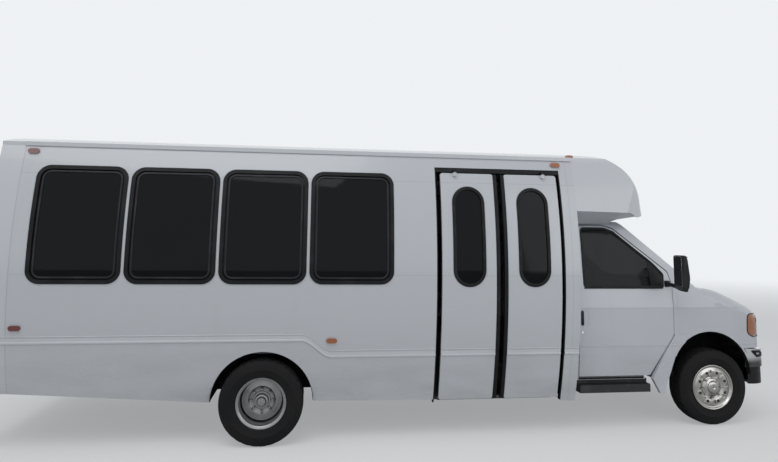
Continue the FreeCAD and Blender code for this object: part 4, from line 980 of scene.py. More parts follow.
class SeatSettings(bpy.types.PropertyGroup):
    benches_right: bpy.props.IntProperty(
        name="Benches on the right", description="Two-place seats behind the entrance", default=4)
    benches_left: bpy.props.IntProperty(
        name="Benches on the left", description="Two-place seats behind the driver", default=6)
    crown: bpy.props.FloatProperty(
        name="Cushion crown", description="How far the padding swells between its seams",
        default=0.022, unit="LENGTH")


LOOK = {}


class MINIBUS_OT_stage(bpy.types.Operator):
    """Pale floor, soft lights and the camera at the photographed angle"""

    bl_idname = "minibus.stage"
    bl_label = "Stage"

    def execute(self, context):
        size = context.scene.minibus_stage
        deselect()
        bpy.ops.mesh.primitive_plane_add(size=size.floor_size, location=(0, 0, 0))
        floor = named("floor_plane")
        edit(floor)
        bpy.ops.mesh.subdivide(number_cuts=3)
        close_edit()
        floor.data.materials.append(floor_finish(tuple(size.floor_color),
                                                 tuple(size.backdrop_color)))

        world = bpy.data.worlds.new("soft_sky")
        context.scene.world = world
        world.use_nodes = True
        tree = world.node_tree
        back = tree.nodes["Background"]
        back.inputs[0].default_value = (0.93, 0.96, 1.0, 1.0)
        back.inputs[1].default_value = size.sky_level
        pale = tree.nodes.new("ShaderNodeBackground")
        pale.inputs[0].default_value = (*size.backdrop_color, 1.0)
        pale.inputs[1].default_value = 1.0
        rays = tree.nodes.new("ShaderNodeLightPath")
        seen = rays.outputs["Is Camera Ray"]
        for other in ("Is Transmission Ray", "Is Glossy Ray"):
            either = tree.nodes.new("ShaderNodeMath")
            either.operation = "MAXIMUM"
            tree.links.new(seen, either.inputs[0])
            tree.links.new(rays.outputs[other], either.inputs[1])
            seen = either.outputs[0]
        mix = tree.nodes.new("ShaderNodeMixShader")
        tree.links.new(seen, mix.inputs[0])
        tree.links.new(back.outputs[0], mix.inputs[1])
        tree.links.new(pale.outputs[0], mix.inputs[2])
        tree.links.new(mix.outputs[0], tree.nodes["World Output"].inputs[0])

        for name, at, aim, edge, power in (
                ("key_light", (-3.0, -7.0, 11.0), (0.0, 0.0, 1.0), 9.0, size.key_power),
                ("fill_light", (7.0, -9.0, 4.0), (1.5, 0.0, 1.0), 6.0, size.key_power * 0.25)):
            light = bpy.data.lights.new(name, "AREA")
            light.size = edge
            light.energy = power
            lamp = bpy.data.objects.new(name, light)
            context.scene.collection.objects.link(lamp)
            lamp.location = at
            lamp.rotation_euler = (Vector(aim) - Vector(at)).to_track_quat("-Z", "Y").to_euler()

        view = bpy.data.cameras.new("photo_view")
        view.lens = 27.416
        view.sensor_width = 36.0
        view.shift_y = -0.0662
        camera = bpy.data.objects.new("photo_view", view)
        context.scene.collection.objects.link(camera)
        right = Vector((0.991133, -0.132461, 0.010417))
        up = Vector((-0.024372, -0.104173, 0.994261))
        back_axis = -Vector((0.130616, 0.985699, 0.106477))
        camera.matrix_world = Matrix.Translation((AXLE - 4.0810, -6.6596, 1.7885)) @ Matrix(
            (right, up, back_axis)).transposed().to_4x4()
        context.scene.camera = camera
        context.scene.view_settings.view_transform = "Standard"
        return {"FINISHED"}


class MINIBUS_OT_finishes(bpy.types.Operator):
    """Paint, glass, metal and rubber on the parts of the frame"""

    bl_idname = "minibus.finishes"
    bl_label = "Finishes"

    def execute(self, context):
        LOOK.update(make_materials())
        for look, nodes in CAD_FINISH.items():
            for node in nodes:
                for place in NODES[node].material_slots:
                    place.link = "OBJECT"
                    place.material = LOOK[look]
        return {"FINISHED"}


class MINIBUS_OT_belt(bpy.types.Operator):
    """Belt moulding on both sides and across the entrance leaves"""

    bl_idname = "minibus.belt"
    bl_label = "Belt moulding"

    def execute(self, context):
        runs = (("wall", BELT_FROM, ENTRY[0], "bus"),
                ("leaf_rear", LEAF_REAR[0] + 0.002, LEAF_REAR[1] - 0.004, "entrance_rear_leaf"),
                ("leaf_front", LEAF_FRONT[0] + 0.004, LEAF_FRONT[1] - 0.002, "entrance_front_leaf"),
                ("pillar", FRONT_PILLAR[0], FRONT_PILLAR[1], "bus"))
        for place, x0, x1, body in runs:
            beads = [belt_run("belt_%s_%s" % (place, bead[0]), x0, x1, *bead[1:])
                     for bead in BELT_BEADS]
            paint(join("belt_%s" % place, beads), LOOK["gelcoat_white"], "body_paint", body)
        left = [belt_run("belt_left_%s" % bead[0], BELT_FROM, BODY_FRONT, *bead[1:])
                for bead in BELT_BEADS]
        other = mirrored(join("belt_left_copy", left), "belt_left")
        bpy.data.objects.remove(bpy.data.objects["belt_left_copy"])
        paint(other, LOOK["gelcoat_white"], "body_paint", "bus")
        return {"FINISHED"}


class MINIBUS_OT_entrance(bpy.types.Operator):
    """Rubber edges and glass gaskets of the two entrance leaves"""

    bl_idname = "minibus.entrance"
    bl_label = "Entrance rubbers"

    def execute(self, context):
        trim = context.scene.minibus_trim
        for name, x0, x1, body in (
                ("edge_rubber_rear", LEAF_REAR[1] - 0.004, AXLE - 2.292, "entrance_rear_leaf"),
                ("edge_rubber_front", AXLE - 2.253, LEAF_FRONT[0] + 0.004, "entrance_front_leaf")):
            strip = upright(name, x0, x1, LEAF_Z[0] + 0.003, LEAF_Z[1] - 0.004, 0.024,
                            trim.seal_proud)
            paint(strip, LOOK["black_rubber"], "rubber", body)
        for name, leaf, body in (("glass_gasket_rear", LEAF_REAR, "entrance_rear_leaf"),
                                 ("glass_gasket_front", LEAF_FRONT, "entrance_front_leaf")):
            middle = (leaf[0] + leaf[1]) / 2
            ring = band(name, capsule(middle, 0.150, 1.395, 2.328, 0.008),
                        capsule(middle, 0.150, 1.395, 2.328, 0.008 - trim.gasket_width * 1.6),
                        0.010, 0.002)
            paint(ring, LOOK["black_rubber"], "rubber", body)
        return {"FINISHED"}


class MINIBUS_OT_tyres(bpy.types.Operator):
    """Road tyres with their tread, single in front and twin behind"""

    bl_idname = "minibus.tyres"
    bl_label = "Tyres"

    def execute(self, context):
        front = make_tyre("tyre_tread_front_right", (AXLE, -FRONT_TYRE_Y, TYRE_R))
        shift = {"front_left": (0, 2 * FRONT_TYRE_Y, 0)}
        other = copy(front, "tyre_tread_front_left", shift["front_left"])
        twins = {}
        for side, sign in (("right", -1), ("left", 1)):
            pair = [copy(front, "twin_%s_%d" % (side, i),
                         (REAR_AXLE - AXLE, sign * y + FRONT_TYRE_Y, 0))
                    for i, y in enumerate(REAR_TYRE_Y)]
            twins[side] = join("tyre_tread_rear_%s" % side, pair)
        rubber = LOOK["tyre_rubber"]
        paint(front, rubber, "tyre", "front_wheel_right", "tyre_front_right")
        paint(other, rubber, "tyre", "front_wheel_left", "tyre_front_left")
        paint(twins["right"], rubber, "tyre", "rear_wheels_right", "tyres_rear_right")
        paint(twins["left"], rubber, "tyre", "rear_wheels_left", "tyres_rear_left")
        return {"FINISHED"}


class MINIBUS_OT_wheels(bpy.types.Operator):
    """Bright front covers, deep rear rims and their nuts"""

    bl_idname = "minibus.wheels"
    bl_label = "Wheels"

    def execute(self, context):
        wheel = context.scene.minibus_wheels
        for side, sign in (("right", -1), ("left", 1)):
            centre = (AXLE, sign * FRONT_TYRE_Y, TYRE_R)
            rim = spun("front_rim_%s" % side, RIM, centre, 72, sign)
            cover = make_cover("front_cover_%s" % side, centre, sign)
            nuts = [nut("front_nut_%s_%d" % (side, i), (at[0], at[1] + sign * 0.080, at[2]), sign)
                    for i, (at, a) in enumerate(around(centre, wheel.nut_count, wheel.nut_circle))]
            smooth(rim)
            # Black cups in the cover's hand holes: painted shade behind the holes.
            cups = [hand_hole("hand_hole_%s_%d" % (side, i), (at[0], at[1] + sign * 0.0, at[2]), sign,
                              cover) for i, (at, a) in enumerate(around(centre, 8, 0.147, 0.5))]
            paint(join("front_hand_holes_%s" % side, cups), LOOK["arch_black_and_shade"], "rubber",
                  "front_wheel_" + side)
            piece = join("front_wheel_dressed_%s" % side, [cover, rim] + nuts)
            paint(piece, LOOK["polished_cover"], "bright_cover", "front_wheel_" + side,
                  "wheel_front_" + side)

            outer = (REAR_AXLE, sign * REAR_TYRE_Y[0], TYRE_R)
            inner = (REAR_AXLE, sign * REAR_TYRE_Y[1], TYRE_R)
            hub = spun("rear_hub_%s" % side, HUB_CAP, outer, 48, sign)
            smooth(hub)
            rims = [make_rear_rim("rear_rim_outer_%s" % side, outer, sign),
                    make_rear_rim("rear_rim_inner_%s" % side, inner, -sign), hub]
            paint(join("rear_wheels_dressed_%s" % side, rims), LOOK["rim_steel"], "steel_rim",
                  "rear_wheels_" + side, "wheel_rear_" + side)
        return {"FINISHED"}


def patch(name, outline, wall, nodes, way, lift=0.0):
    """Thin filled panel laid on the nodes that a ray along way meets."""
    piece = start_ring(name, [cast(nodes, point, way, lift) for point in outline])
    edit(piece, "VERT")
    bpy.ops.mesh.edge_face_add()
    close_edit()
    modify(piece, "SOLIDIFY", thickness=wall, offset=0.0)
    edit(piece)
    bpy.ops.mesh.normals_make_consistent(inside=False)
    close_edit()
    bevel(piece, wall * 0.3, 2, 0.8)
    smooth(piece, 0.6)
    return piece


def wheelhouse(name, centre, radius, span, start, stop, walled=True):
    """Half tube over a wheel on the right side, closed on its inner side, open below."""
    arc = []
    for i in range(25):
        a = math.radians(start + (stop - start) * i / 24)
        arc.append((centre[0] + radius * math.cos(a), -span[0], centre[1] + radius * math.sin(a)))
    piece = start_ring(name, arc)
    if walled:
        edit(piece, "VERT")
        bpy.ops.mesh.edge_face_add()
        bpy.ops.mesh.extrude_region_move(TRANSFORM_OT_translate={"value": (0, span[0] - span[1], 0)})
        bpy.ops.mesh.delete(type="FACE")
        close_edit()
    else:
        edit(piece, "EDGE")
        bpy.ops.mesh.extrude_region_move(TRANSFORM_OT_translate={"value": (0, span[0] - span[1], 0)})
        close_edit()
    edit(piece, "FACE", lambda c, n: abs(n.y) < 0.5
         and (Vector((c.x, c.z)) - Vector(centre)).length < radius * 0.97)
    bpy.ops.mesh.delete(type="FACE")
    close_edit()
    edit(piece)
    bpy.ops.mesh.normals_make_consistent(inside=False)
    close_edit()
    modify(piece, "SOLIDIFY", thickness=0.003, offset=0.0)
    smooth(piece, 0.9)
    return piece


CAP_TOP = 2.7534
TOE_X = AXLE - 0.331


def roof_crown(y0, y1, count):
    """(y, z) points along the roof's arc."""
    edge, rise, top = 1.055, 2.656, 2.7995
    radius = (edge ** 2 + (top - rise) ** 2) / (2 * (top - rise))
    return [(y, top - radius + math.sqrt(radius ** 2 - y ** 2)) for y in slats(y0, y1, count)]


def beside(points, y=-1.6):
    """(x, z) outline as points well outside the right side."""
    return [(p[0], y, p[1]) for p in points]


def behind(points):
    """(y, z) outline as points well behind the bus."""
    return [(-4.2, p[0], p[1]) for p in points]


def ahead(points):
    """(y, z) outline as points well ahead of the bus."""
    return [(4.2, p[0], p[1]) for p in points]


class MINIBUS_OT_sashes(bpy.types.Operator):
    """Inner sash rings of the passenger windows"""

    bl_idname = "minibus.sashes"
    bl_label = "Window sashes"

    def execute(self, context):
        def sash(i):
            x0 = WINDOW_REAR + i * WINDOW_PITCH
            span = (x0, x0 + WINDOW_LENGTH)
            outer = ring_points(span, *WINDOW_Z, 0.110, -0.040)
            inner = ring_points(span, *WINDOW_Z, 0.110, -0.056)
            return band("sash_%d" % i, outer, inner, 0.010, -0.005)

        right = join("sashes_right", [sash(i) for i in range(4)])
        paint(right, LOOK["sash_black"], "black_plastic", "bus")
        row = join("sashes_row", [sash(i) for i in range(6)])
        both_sides(row, "sashes_left", "bus", LOOK["sash_black"], "black_plastic")
        bpy.data.objects.remove(row)
        return {"FINISHED"}


class MINIBUS_OT_cab_trim(bpy.types.Operator):
    """Door window rubbers, mirror sails, handles, locks and black sill strips of the cab, the strips painted
    shade under the doors
    """

    bl_idname = "minibus.cab_trim"
    bl_label = "Cab trim"

    def execute(self, context):
        skin = ("cab_door_right", "cab_glass_right")
        way = (0, 1, 0)
        gasket = wrap("window_rubber", beside(rounded(inset_outline(CAB_WINDOW, -0.006), 6)),
                      beside(rounded(inset_outline(CAB_WINDOW, 0.020), 6)), 0.007, skin, way)
        sail = patch("mirror_sail", beside(SAIL), 0.010, skin, way, -0.001)
        rail = tube("belt_rubber", [cast(skin, (AXLE + x, -1.6, 1.362), way, 0.002)
                                    for x in (-1.36, -1.1, -0.8, -0.52)], 0.006)
        rubber = join("door_rubber_right", [gasket, sail, rail])
        paint(rubber, LOOK["black_rubber"], "rubber", "cab_door_right_body")
        both_sides(rubber, "door_rubber_left", "cab_door_left_body", LOOK["black_rubber"], "rubber")

        x0, x1 = AXLE - 1.404, AXLE - 1.378
        grip_outline = [(x0, 1.000, 0.010), (x1, 1.000, 0.010), (x1, 1.142, 0.010), (x0, 1.142, 0.010)]
        y = -cast(skin, (x0, -1.6, 1.07), way).y
        grip = slab("door_grip", [(p[0], -y + 0.004, p[1]) for p in rounded(grip_outline)],
                    (0, -0.016, 0), 0.004)
        paint(grip, LOOK["black_plastic"], "black_plastic", "cab_door_right_body")
        both_sides(grip, "door_grip_left", "cab_door_left_body", LOOK["black_plastic"],
                   "black_plastic")
        cup = [(AXLE - 1.416, 0.985, 0.022), (AXLE - 1.318, 0.985, 0.030),
               (AXLE - 1.318, 1.157, 0.030), (AXLE - 1.416, 1.157, 0.022)]
        rim = wrap("handle_cup_right", beside(rounded(cup, 6)),
                   beside(rounded(inset_outline(cup, 0.008), 6)), 0.004, ("cab_door_right",), way)
        paint(rim, LOOK["cab_white"], "cab_paint", "cab_door_right_body")
        both_sides(rim, "handle_cup_left", "cab_door_left_body", LOOK["cab_white"], "cab_paint")
        at = cast(skin, (AXLE - 1.391, -1.6, 0.936), way)
        lock = start_cylinder("door_lock_right", 0.012, 0.010, at, "Y", 20)
        edit(lock, "FACE", lambda c, n: n.y < -0.9)
        bpy.ops.mesh.inset(thickness=0.003)
        bpy.ops.transform.translate(value=(0, 0.002, 0))
        close_edit()
        bevel(lock, 0.001, 2)
        paint(lock, LOOK["chrome"], "chrome", "cab_door_right_body")
        both_sides(lock, "door_lock_left", "cab_door_left_body", LOOK["chrome"], "chrome")

        def edge_strip(name, x_a, x_b, z_a, z_b):
            """Panel strip that carries the fender's skin back to the door seam."""
            middle, half = (x_a + x_b) / 2, (x_b - x_a) / 2
            heights = slats(z_a, z_b, 10)
            path = [cast(("cab_door_right",), (AXLE - 0.430, -1.6, z), way) for z in heights]
            path = [(middle, point.y + 0.001, z) for point, z in zip(path, heights)]
            section = [(-half, 0.0015, 0), (-half + 0.0015, 0, 0), (half, 0, 0), (half, 0.007, 0),
                       (-half, 0.007, 0)]
            return sweep(name, section, path)

        filler = join("fender_edge_right", [
            edge_strip("fender_edge", AXLE - 0.4165, AXLE - 0.366, 0.895, 1.3745),
            edge_strip("fender_edge_top", AXLE - 0.3675, AXLE - 0.322, 1.318, 1.3740)])
        smooth(filler, 0.5)
        paint(filler, LOOK["cab_white"], "cab_paint", "bus")
        both_sides(filler, "fender_edge_left", "bus", LOOK["cab_white"], "cab_paint")

        # Black strip on the cab sill under each door: painted shade in the recess below the door.
        sill = patch("sill_cover_right", beside([(AXLE - 1.430, 0.4745), (AXLE - 0.745, 0.4745),
                                                 (AXLE - 0.745, 0.4940), (AXLE - 1.430, 0.4940)]),
                     0.004, ("cab_shell", "cab_door_right"), way, 0.001)
        mat = start_box("board_mat", (AXLE - 1.424, -1.000, 0.4275), (AXLE - 0.708, -0.945, 0.4300))
        ribs = [start_box("board_rib_%d" % i, (AXLE - 1.414, -0.996 + i * 0.011, 0.4295),
                          (AXLE - 0.718, -0.991 + i * 0.011, 0.4325)) for i in range(5)]
        tread = join("board_tread", [mat] + ribs)
        bevel(tread, 0.0008, 1)
        cover = join("sill_and_tread_right", [sill, tread])
        paint(cover, LOOK["black_rubber"], "rubber", "bus")
        both_sides(cover, "sill_and_tread_left", "bus", LOOK["black_rubber"], "rubber")
        return {"FINISHED"}


class MINIBUS_OT_screen(bpy.types.Operator):
    """Windshield rubber and its two wipers"""

    bl_idname = "minibus.screen"
    bl_label = "Windshield trim"

    def execute(self, context):
        skin = ("windshield", "cab_shell")
        way = (-1, 0, 0)
        ring = wrap("screen_rubber", ahead(rounded(inset_outline(WINDSHIELD, -0.012), 7)),
                    ahead(rounded(inset_outline(WINDSHIELD, 0.022), 7)), 0.008, skin, way)
        parts = [ring]
        for side in (-1, 1):
            foot = side * 0.45 - 0.12
            tip = foot + 0.34
            arm = [cast(skin, (4.2, foot, 1.405), way, 0.010),
                   cast(skin, (4.2, foot + 0.03, 1.47), way, 0.022),
                   cast(skin, (4.2, (foot + tip) / 2 + 0.03, 1.53), way, 0.024),
                   cast(skin, (4.2, tip, 1.60), way, 0.020)]
            parts.append(tube("wiper_arm_%d" % side, arm, 0.005))
            blade = [cast(skin, (4.2, tip + t * 0.26, 1.60 - t * 0.16), way, 0.009)
                     for t in (-1.0, -0.5, 0.0, 0.5, 1.0)]
            parts.append(tube("wiper_blade_%d" % side, blade, 0.006))
        paint(join("windshield_trim", parts), LOOK["black_rubber"], "rubber", "bus")
        return {"FINISHED"}


class MINIBUS_OT_mirrors(bpy.types.Operator):
    """Door mirrors with rounded shells, arms and glass"""

    bl_idname = "minibus.mirrors"
    bl_label = "Door mirrors"

    def execute(self, context):
        x0, x1 = AXLE - 0.521, AXLE - 0.424
        side = [(x0, 1.370, 0.022), (x1 - 0.014, 1.370, 0.024), (x1 + 0.002, 1.480, 0.150),
                (x1 - 0.022, 1.690, 0.050), (x0, 1.703, 0.022)]
        shell = slab("mirror_shell", [(x, -1.181, z) for x, z in rounded(side, 5)], (0, -0.149, 0))
        middle = Vector((x0, -1.2555, 1.53))
        edit(shell, "VERT", lambda c: c.x > AXLE - 0.460)
        bpy.ops.transform.resize(value=(1.0, 0.72, 1.0), center_override=middle)
        close_edit()
        bevel(shell, 0.014, 4, 0.6)
        smooth(shell, 0.9)
        arm = tube("mirror_arm", [(AXLE - 0.475, -0.985, 1.405), (AXLE - 0.475, -1.060, 1.402),
                                  (AXLE - 0.474, -1.150, 1.390), (AXLE - 0.470, -1.215, 1.368),
                                  (AXLE - 0.466, -1.300, 1.366)], 0.020)
        foot = start_box("mirror_foot", (AXLE - 0.498, -1.016, 1.374), (AXLE - 0.452, -0.986, 1.438))
        edit(foot, "FACE", lambda c, n: n.y < -0.9)
        bpy.ops.mesh.inset(thickness=0.006)
        bpy.ops.transform.translate(value=(0, -0.002, 0))
        close_edit()
        bevel(foot, 0.004, 2)
        case = join("mirror_case_right", [shell, arm, foot])
        paint(case, LOOK["black_plastic"], "black_plastic", "cab_door_right_body", "mirror_right")
        both_sides(case, "mirror_case_left", "cab_door_left_body", LOOK["black_plastic"],
                   "black_plastic", "mirror_left")
        glass_outline = [(-1.192, 1.384, 0.020), (-1.319, 1.384, 0.020), (-1.319, 1.686, 0.020),
                         (-1.192, 1.686, 0.020)]
        glass = slab("mirror_glass_right", [(x0 + 0.001, y, z) for y, z in rounded(glass_outline)],
                     (-0.0015, 0, 0), 0.0005, 1)
        edit(glass, "FACE", lambda c, n: n.x < -0.9)
        bpy.ops.mesh.inset(thickness=0.004)
        close_edit()
        paint(glass, LOOK["mirror_glass"], "chrome", "cab_door_right_body")
        both_sides(glass, "mirror_glass_left", "cab_door_left_body", LOOK["mirror_glass"], "chrome")
        return {"FINISHED"}


def round_bezel(name, at, radius, wide, deep, axis, material, slot, body):
    """Raised round rim about a lamp."""
    ring = start_cylinder(name, radius + wide, deep, at, axis, 40, "NOTHING")
    modify(ring, "SOLIDIFY", thickness=wide, offset=-1.0)
    bevel(ring, min(wide, deep) * 0.3, 2, 0.7)
    smooth(ring, 0.7)
    return paint(ring, material, slot, body)


class MINIBUS_OT_lamps(bpy.types.Operator):
    """Lamp rims, ribbed corner lenses and the small clearance lamps"""

    bl_idname = "minibus.lamps"
    bl_label = "Lamps"

    def execute(self, context):
        rims = [round_bezel("tail_rim_%d" % i, (REAR_WALL - 0.008, -0.920, z), 0.048, 0.008, 0.014,
                            "X", LOOK["black_rubber"], "rubber", "bus")
                for i, z in enumerate((1.150, 1.270, 1.390))]
        rims = join("tail_rims_right", rims)
        both_sides(rims, "tail_rims_left", "bus", LOOK["black_rubber"], "rubber")

        nose = ("fenders", "corner_lamps", "headlamps", "grille_panel")
        lens_edge = [(AXLE + 0.412, 0.908, 0.050), (AXLE + 0.470, 0.872, 0.030),
                     (AXLE + 0.585, 0.872, 0.016), (AXLE + 0.575, 1.092, 0.016),
                     (AXLE + 0.424, 1.096, 0.045)]
        side_ring = wrap("corner_lamp_rim", beside(rounded(inset_outline(lens_edge, -0.007), 6)),
                         beside(rounded(inset_outline(lens_edge, 0.001), 6)), 0.006, nose, (0, 1, 0),
                         0.003, 0.012)
        paint(side_ring, LOOK["black_rubber"], "rubber", "bus")
        both_sides(side_ring, "corner_lamp_rim_left", "bus", LOOK["black_rubber"], "rubber")
        rings = [beside(rounded(inset_outline(lens_edge, d), 6)) for d in (0.0, 0.022, 0.044, 0.066)]
        shells = [wrap("corner_lens_%d" % i, a, b, 0.004, nose, (0, 1, 0), 0.0015 + 0.001 * i)
                  for i, (a, b) in enumerate(zip(rings, rings[1:]))]
        heart = [point for point in rounded(inset_outline(lens_edge, 0.064), 6)]
        shells.append(patch("corner_lens_heart", beside(heart), 0.004, nose, (0, 1, 0), 0.004))
        lens = join("corner_lens_right", shells)
        paint(lens, LOOK["amber"], "amber_lens", "bus")
        both_sides(lens, "corner_lens_left", "bus", LOOK["amber"], "amber_lens")
        bulb = [(-0.868, 0.852, 0.020), (-0.652, 0.852, 0.020), (-0.652, 0.984, 0.020),
                (-0.868, 0.984, 0.020)]
        rim = wrap("headlamp_rim", ahead(rounded(inset_outline(bulb, -0.010), 5)),
                   ahead(rounded(inset_outline(bulb, 0.006), 5)), 0.006, nose, (-1, 0, 0), 0.001)
        paint(rim, LOOK["chrome"], "chrome", "bus")
        both_sides(rim, "headlamp_rim_left", "bus", LOOK["chrome"], "chrome")

        def pod(name, at, along):
            """Low oval lamp, long one way, that stands on the skin."""
            base = start_cylinder(name, 0.5, 1.0, (0, 0, 0), "Z", 28)
            edit(base, "FACE", lambda c, n: n.z > 0.9)
            bpy.ops.mesh.inset(thickness=0.10)
            bpy.ops.transform.translate(value=(0, 0, 0.30))
            bpy.ops.mesh.inset(thickness=0.12)
            bpy.ops.transform.translate(value=(0, 0, 0.10))
            close_edit()
            size = {"X": (0.085, 0.042, 0.020), "Y": (0.042, 0.085, 0.020),
                    "BACK": (0.034, 0.095, 0.018)}[along]
            turn = Matrix.Rotation(-math.pi / 2, 4, "Y") if along == "BACK" else Matrix.Identity(4)
            base.data.transform(Matrix.Translation(at) @ turn @ Matrix.Diagonal((*size, 1.0)))
            smooth(base, 0.9)
            return base

        amber = [pod("cap_lamp_%d" % i, cast(("front_cap",), (x, y, 3.4), (0, 0, -1)), along)
                 for i, (x, y, along) in enumerate(
                     ((AXLE - 1.484, -0.985, "X"), (AXLE - 1.484, 0.985, "X"),
                      (AXLE - 1.14, -0.16, "Y"), (AXLE - 1.13, 0.0, "Y"), (AXLE - 1.14, 0.16, "Y")))]
        paint(join("cap_lamps", amber), LOOK["amber"], "amber_lens", "bus")
        red = [pod("rear_lamp_%d" % i, cast(("rear_cap",), (-4.2, y, 2.610), (1, 0, 0)), "BACK")
               for i, y in enumerate((-0.86, -0.16, 0.0, 0.16, 0.86))]
        paint(join("rear_top_lamps", red), LOOK["red"], "red_lens", "bus")
        return {"FINISHED"}


class MINIBUS_OT_nose(bpy.types.Operator):
    """Grille core, bumper pads, wheel arch liners and black front arch lips, the lips painted shade"""

    bl_idname = "minibus.nose"
    bl_label = "Nose and arches"

    def execute(self, context):
        backing = slab("grille_backing", [(AXLE + 0.585, y, z) for y, z in
                                          ((-0.60, 0.77), (0.60, 0.77), (0.60, 0.985), (-0.60, 0.985))],
                       (-0.004, 0, 0))
        fins = []
        for i in range(23):
            y = -0.55 + i * 0.05
            fin = start_box("grille_fin_%d" % i, (AXLE + 0.586, y - 0.0025, 0.775),
                            (AXLE + 0.606, y + 0.0025, 0.980))
            bevel(fin, 0.0008, 1)
            fins.append(fin)
        paint(join("grille_core", [backing] + fins), LOOK["black_plastic"], "black_plastic", "bus")

        pads = []
        end_pad = [(AXLE + 0.420, 0.733), (AXLE + 0.545, 0.730), (AXLE + 0.640, 0.672),
                   (AXLE + 0.500, 0.662)]
        cut_pad = [(x, z, 0.012) for x, z in end_pad]
        inner_pad = inset_outline(cut_pad, 0.024)
        pads.append(wrap("bumper_end_pad", beside(rounded(cut_pad, 4)), beside(rounded(inner_pad, 4)),
                         0.007, ("front_bumper",), (0, 1, 0), 0.003, 0.012))
        pad_line = [cast(("front_bumper",), (4.2, -0.70 + 0.1 * i, 0.660), (-1, 0, 0), 0.003)
                    for i in range(15)]
        pads.append(tube("bumper_front_pad", pad_line, 0.016))
        right = join("bumper_pads", pads)
        paint(right, LOOK["black_rubber"], "rubber", "bus")
        other = mirrored(right, "bumper_pads_left")
        paint(other, LOOK["black_rubber"], "rubber", "bus")

        # Near-black wheelhouse liners, which also hide pale inner parts as painted shade inside the arches.
        liners = (("front", AXLE - 0.030, 0.500, 0.474, (0.555, 0.970), 16, 190),
                  ("rear", REAR_AXLE, ARCH_Z, 0.4535, (0.620, 1.090), 2, 178))
        for place, x, z, radius, span, start, stop in liners:
            shell = wheelhouse("arch_liner_" + place, (x, z), radius, span, start, stop)
            paint(shell, LOOK["arch_black_and_shade"], "rubber", "bus")
            both_sides(shell, "arch_liner_%s_left" % place, "bus", LOOK["arch_black_and_shade"], "rubber")
        # Black ring over the front arch's white lip return: painted shade inside the arch.
        lip = wheelhouse("arch_lip_front", (AXLE - 0.030, 0.500), 0.4265, (0.955, 1.004), 0, 180, False)
        paint(lip, LOOK["arch_black_and_shade"], "rubber", "bus")
        both_sides(lip, "arch_lip_front_left", "bus", LOOK["arch_black_and_shade"], "rubber")
        return {"FINISHED"}


class MINIBUS_OT_covers(bpy.types.Operator):
    """Cover plates: roof step, floor ends, rear battens, toe boards and lower jambs"""

    bl_idname = "minibus.covers"
    bl_label = "Cover plates"
    # Cover plates: roof step, floor ends, rear battens, and toe boards and lower jambs blacked as painted
    # shade

    def execute(self, context):
        crown = roof_crown(-0.600, 0.600, 24)
        ends = [(0.600, CAP_TOP - 0.002), (-0.600, CAP_TOP - 0.002)]
        fairing = start_ring("cap_fairing", [(BODY_FRONT + 0.0005, y, z) for y, z in crown + ends])
        edit(fairing, "VERT")
        bpy.ops.mesh.edge_face_add()
        extrude((0.110, 0, 0), (1, 0.96, 0.50), (BODY_FRONT, 0, CAP_TOP - 0.002))
        extrude((0.110, 0, 0), (1, 0.96, 0.08), (BODY_FRONT, 0, CAP_TOP - 0.002))
        bpy.ops.mesh.select_all(action="SELECT")
        bpy.ops.mesh.normals_make_consistent(inside=False)
        close_edit()
        smooth(fairing, 0.6)
        paint(fairing, LOOK["body_white"], "body_paint", "bus")

        floor_end = start_box("floor_end_cover", (BODY_FRONT + 0.0005, -1.113, 0.782),
                              (BODY_FRONT + 0.004, -0.985, 0.848))
        bevel(floor_end, 0.001, 1)
        paint(floor_end, LOOK["body_white"], "body_paint", "bus")
        both_sides(floor_end, "floor_end_cover_left", "bus", LOOK["body_white"], "body_paint")

        for side, sign, foot in (("right", -1, 0.790), ("left", 1, 0.982)):
            corners = [(sign * 0.733, foot, 0.012), (sign * 0.841, foot, 0.012),
                       (sign * 0.841, 2.222, 0.012), (sign * 0.733, 2.222, 0.012)]
            batten = slab("rear_batten_%s" % side, [(REAR_WALL - 0.0005, y, z) for y, z in
                                                    rounded(corners)], (-0.004, 0, 0), 0.0015)
            paint(batten, LOOK["body_white"], "body_paint", "bus")

        # Black plates over the white toe boards seen in the front arches: painted shade.
        toe = [start_box("toe_face", (TOE_X + 0.001, -0.903, 0.696), (TOE_X + 0.004, -0.550, 0.930)),
               start_box("toe_side", (TOE_X - 0.110, -0.905, 0.700), (TOE_X + 0.004, -0.902, 0.930)),
               start_box("toe_foot", (TOE_X - 0.100, -0.903, 0.694), (TOE_X + 0.004, -0.550, 0.698))]
        toe = join("toe_cover", toe)
        bevel(toe, 0.001, 1)
        paint(toe, LOOK["arch_black_and_shade"], "rubber", "bus")
        both_sides(toe, "toe_cover_left", "bus", LOOK["arch_black_and_shade"], "rubber")

        # Black panels in the lower jamb gaps of the entrance: painted shade over the pale wall behind.
        jambs = [start_box("jamb_panel_%d" % i, (x, -0.962, 0.345), (x + 0.200, -0.957, 0.795))
                 for i, x in enumerate((ENTRY[0] - 0.080, ENTRY[1] - 0.105))]
        jambs = join("jamb_panels", jambs)
        bevel(jambs, 0.0015, 1)
        paint(jambs, LOOK["black_rubber"], "rubber", "bus")
        return {"FINISHED"}


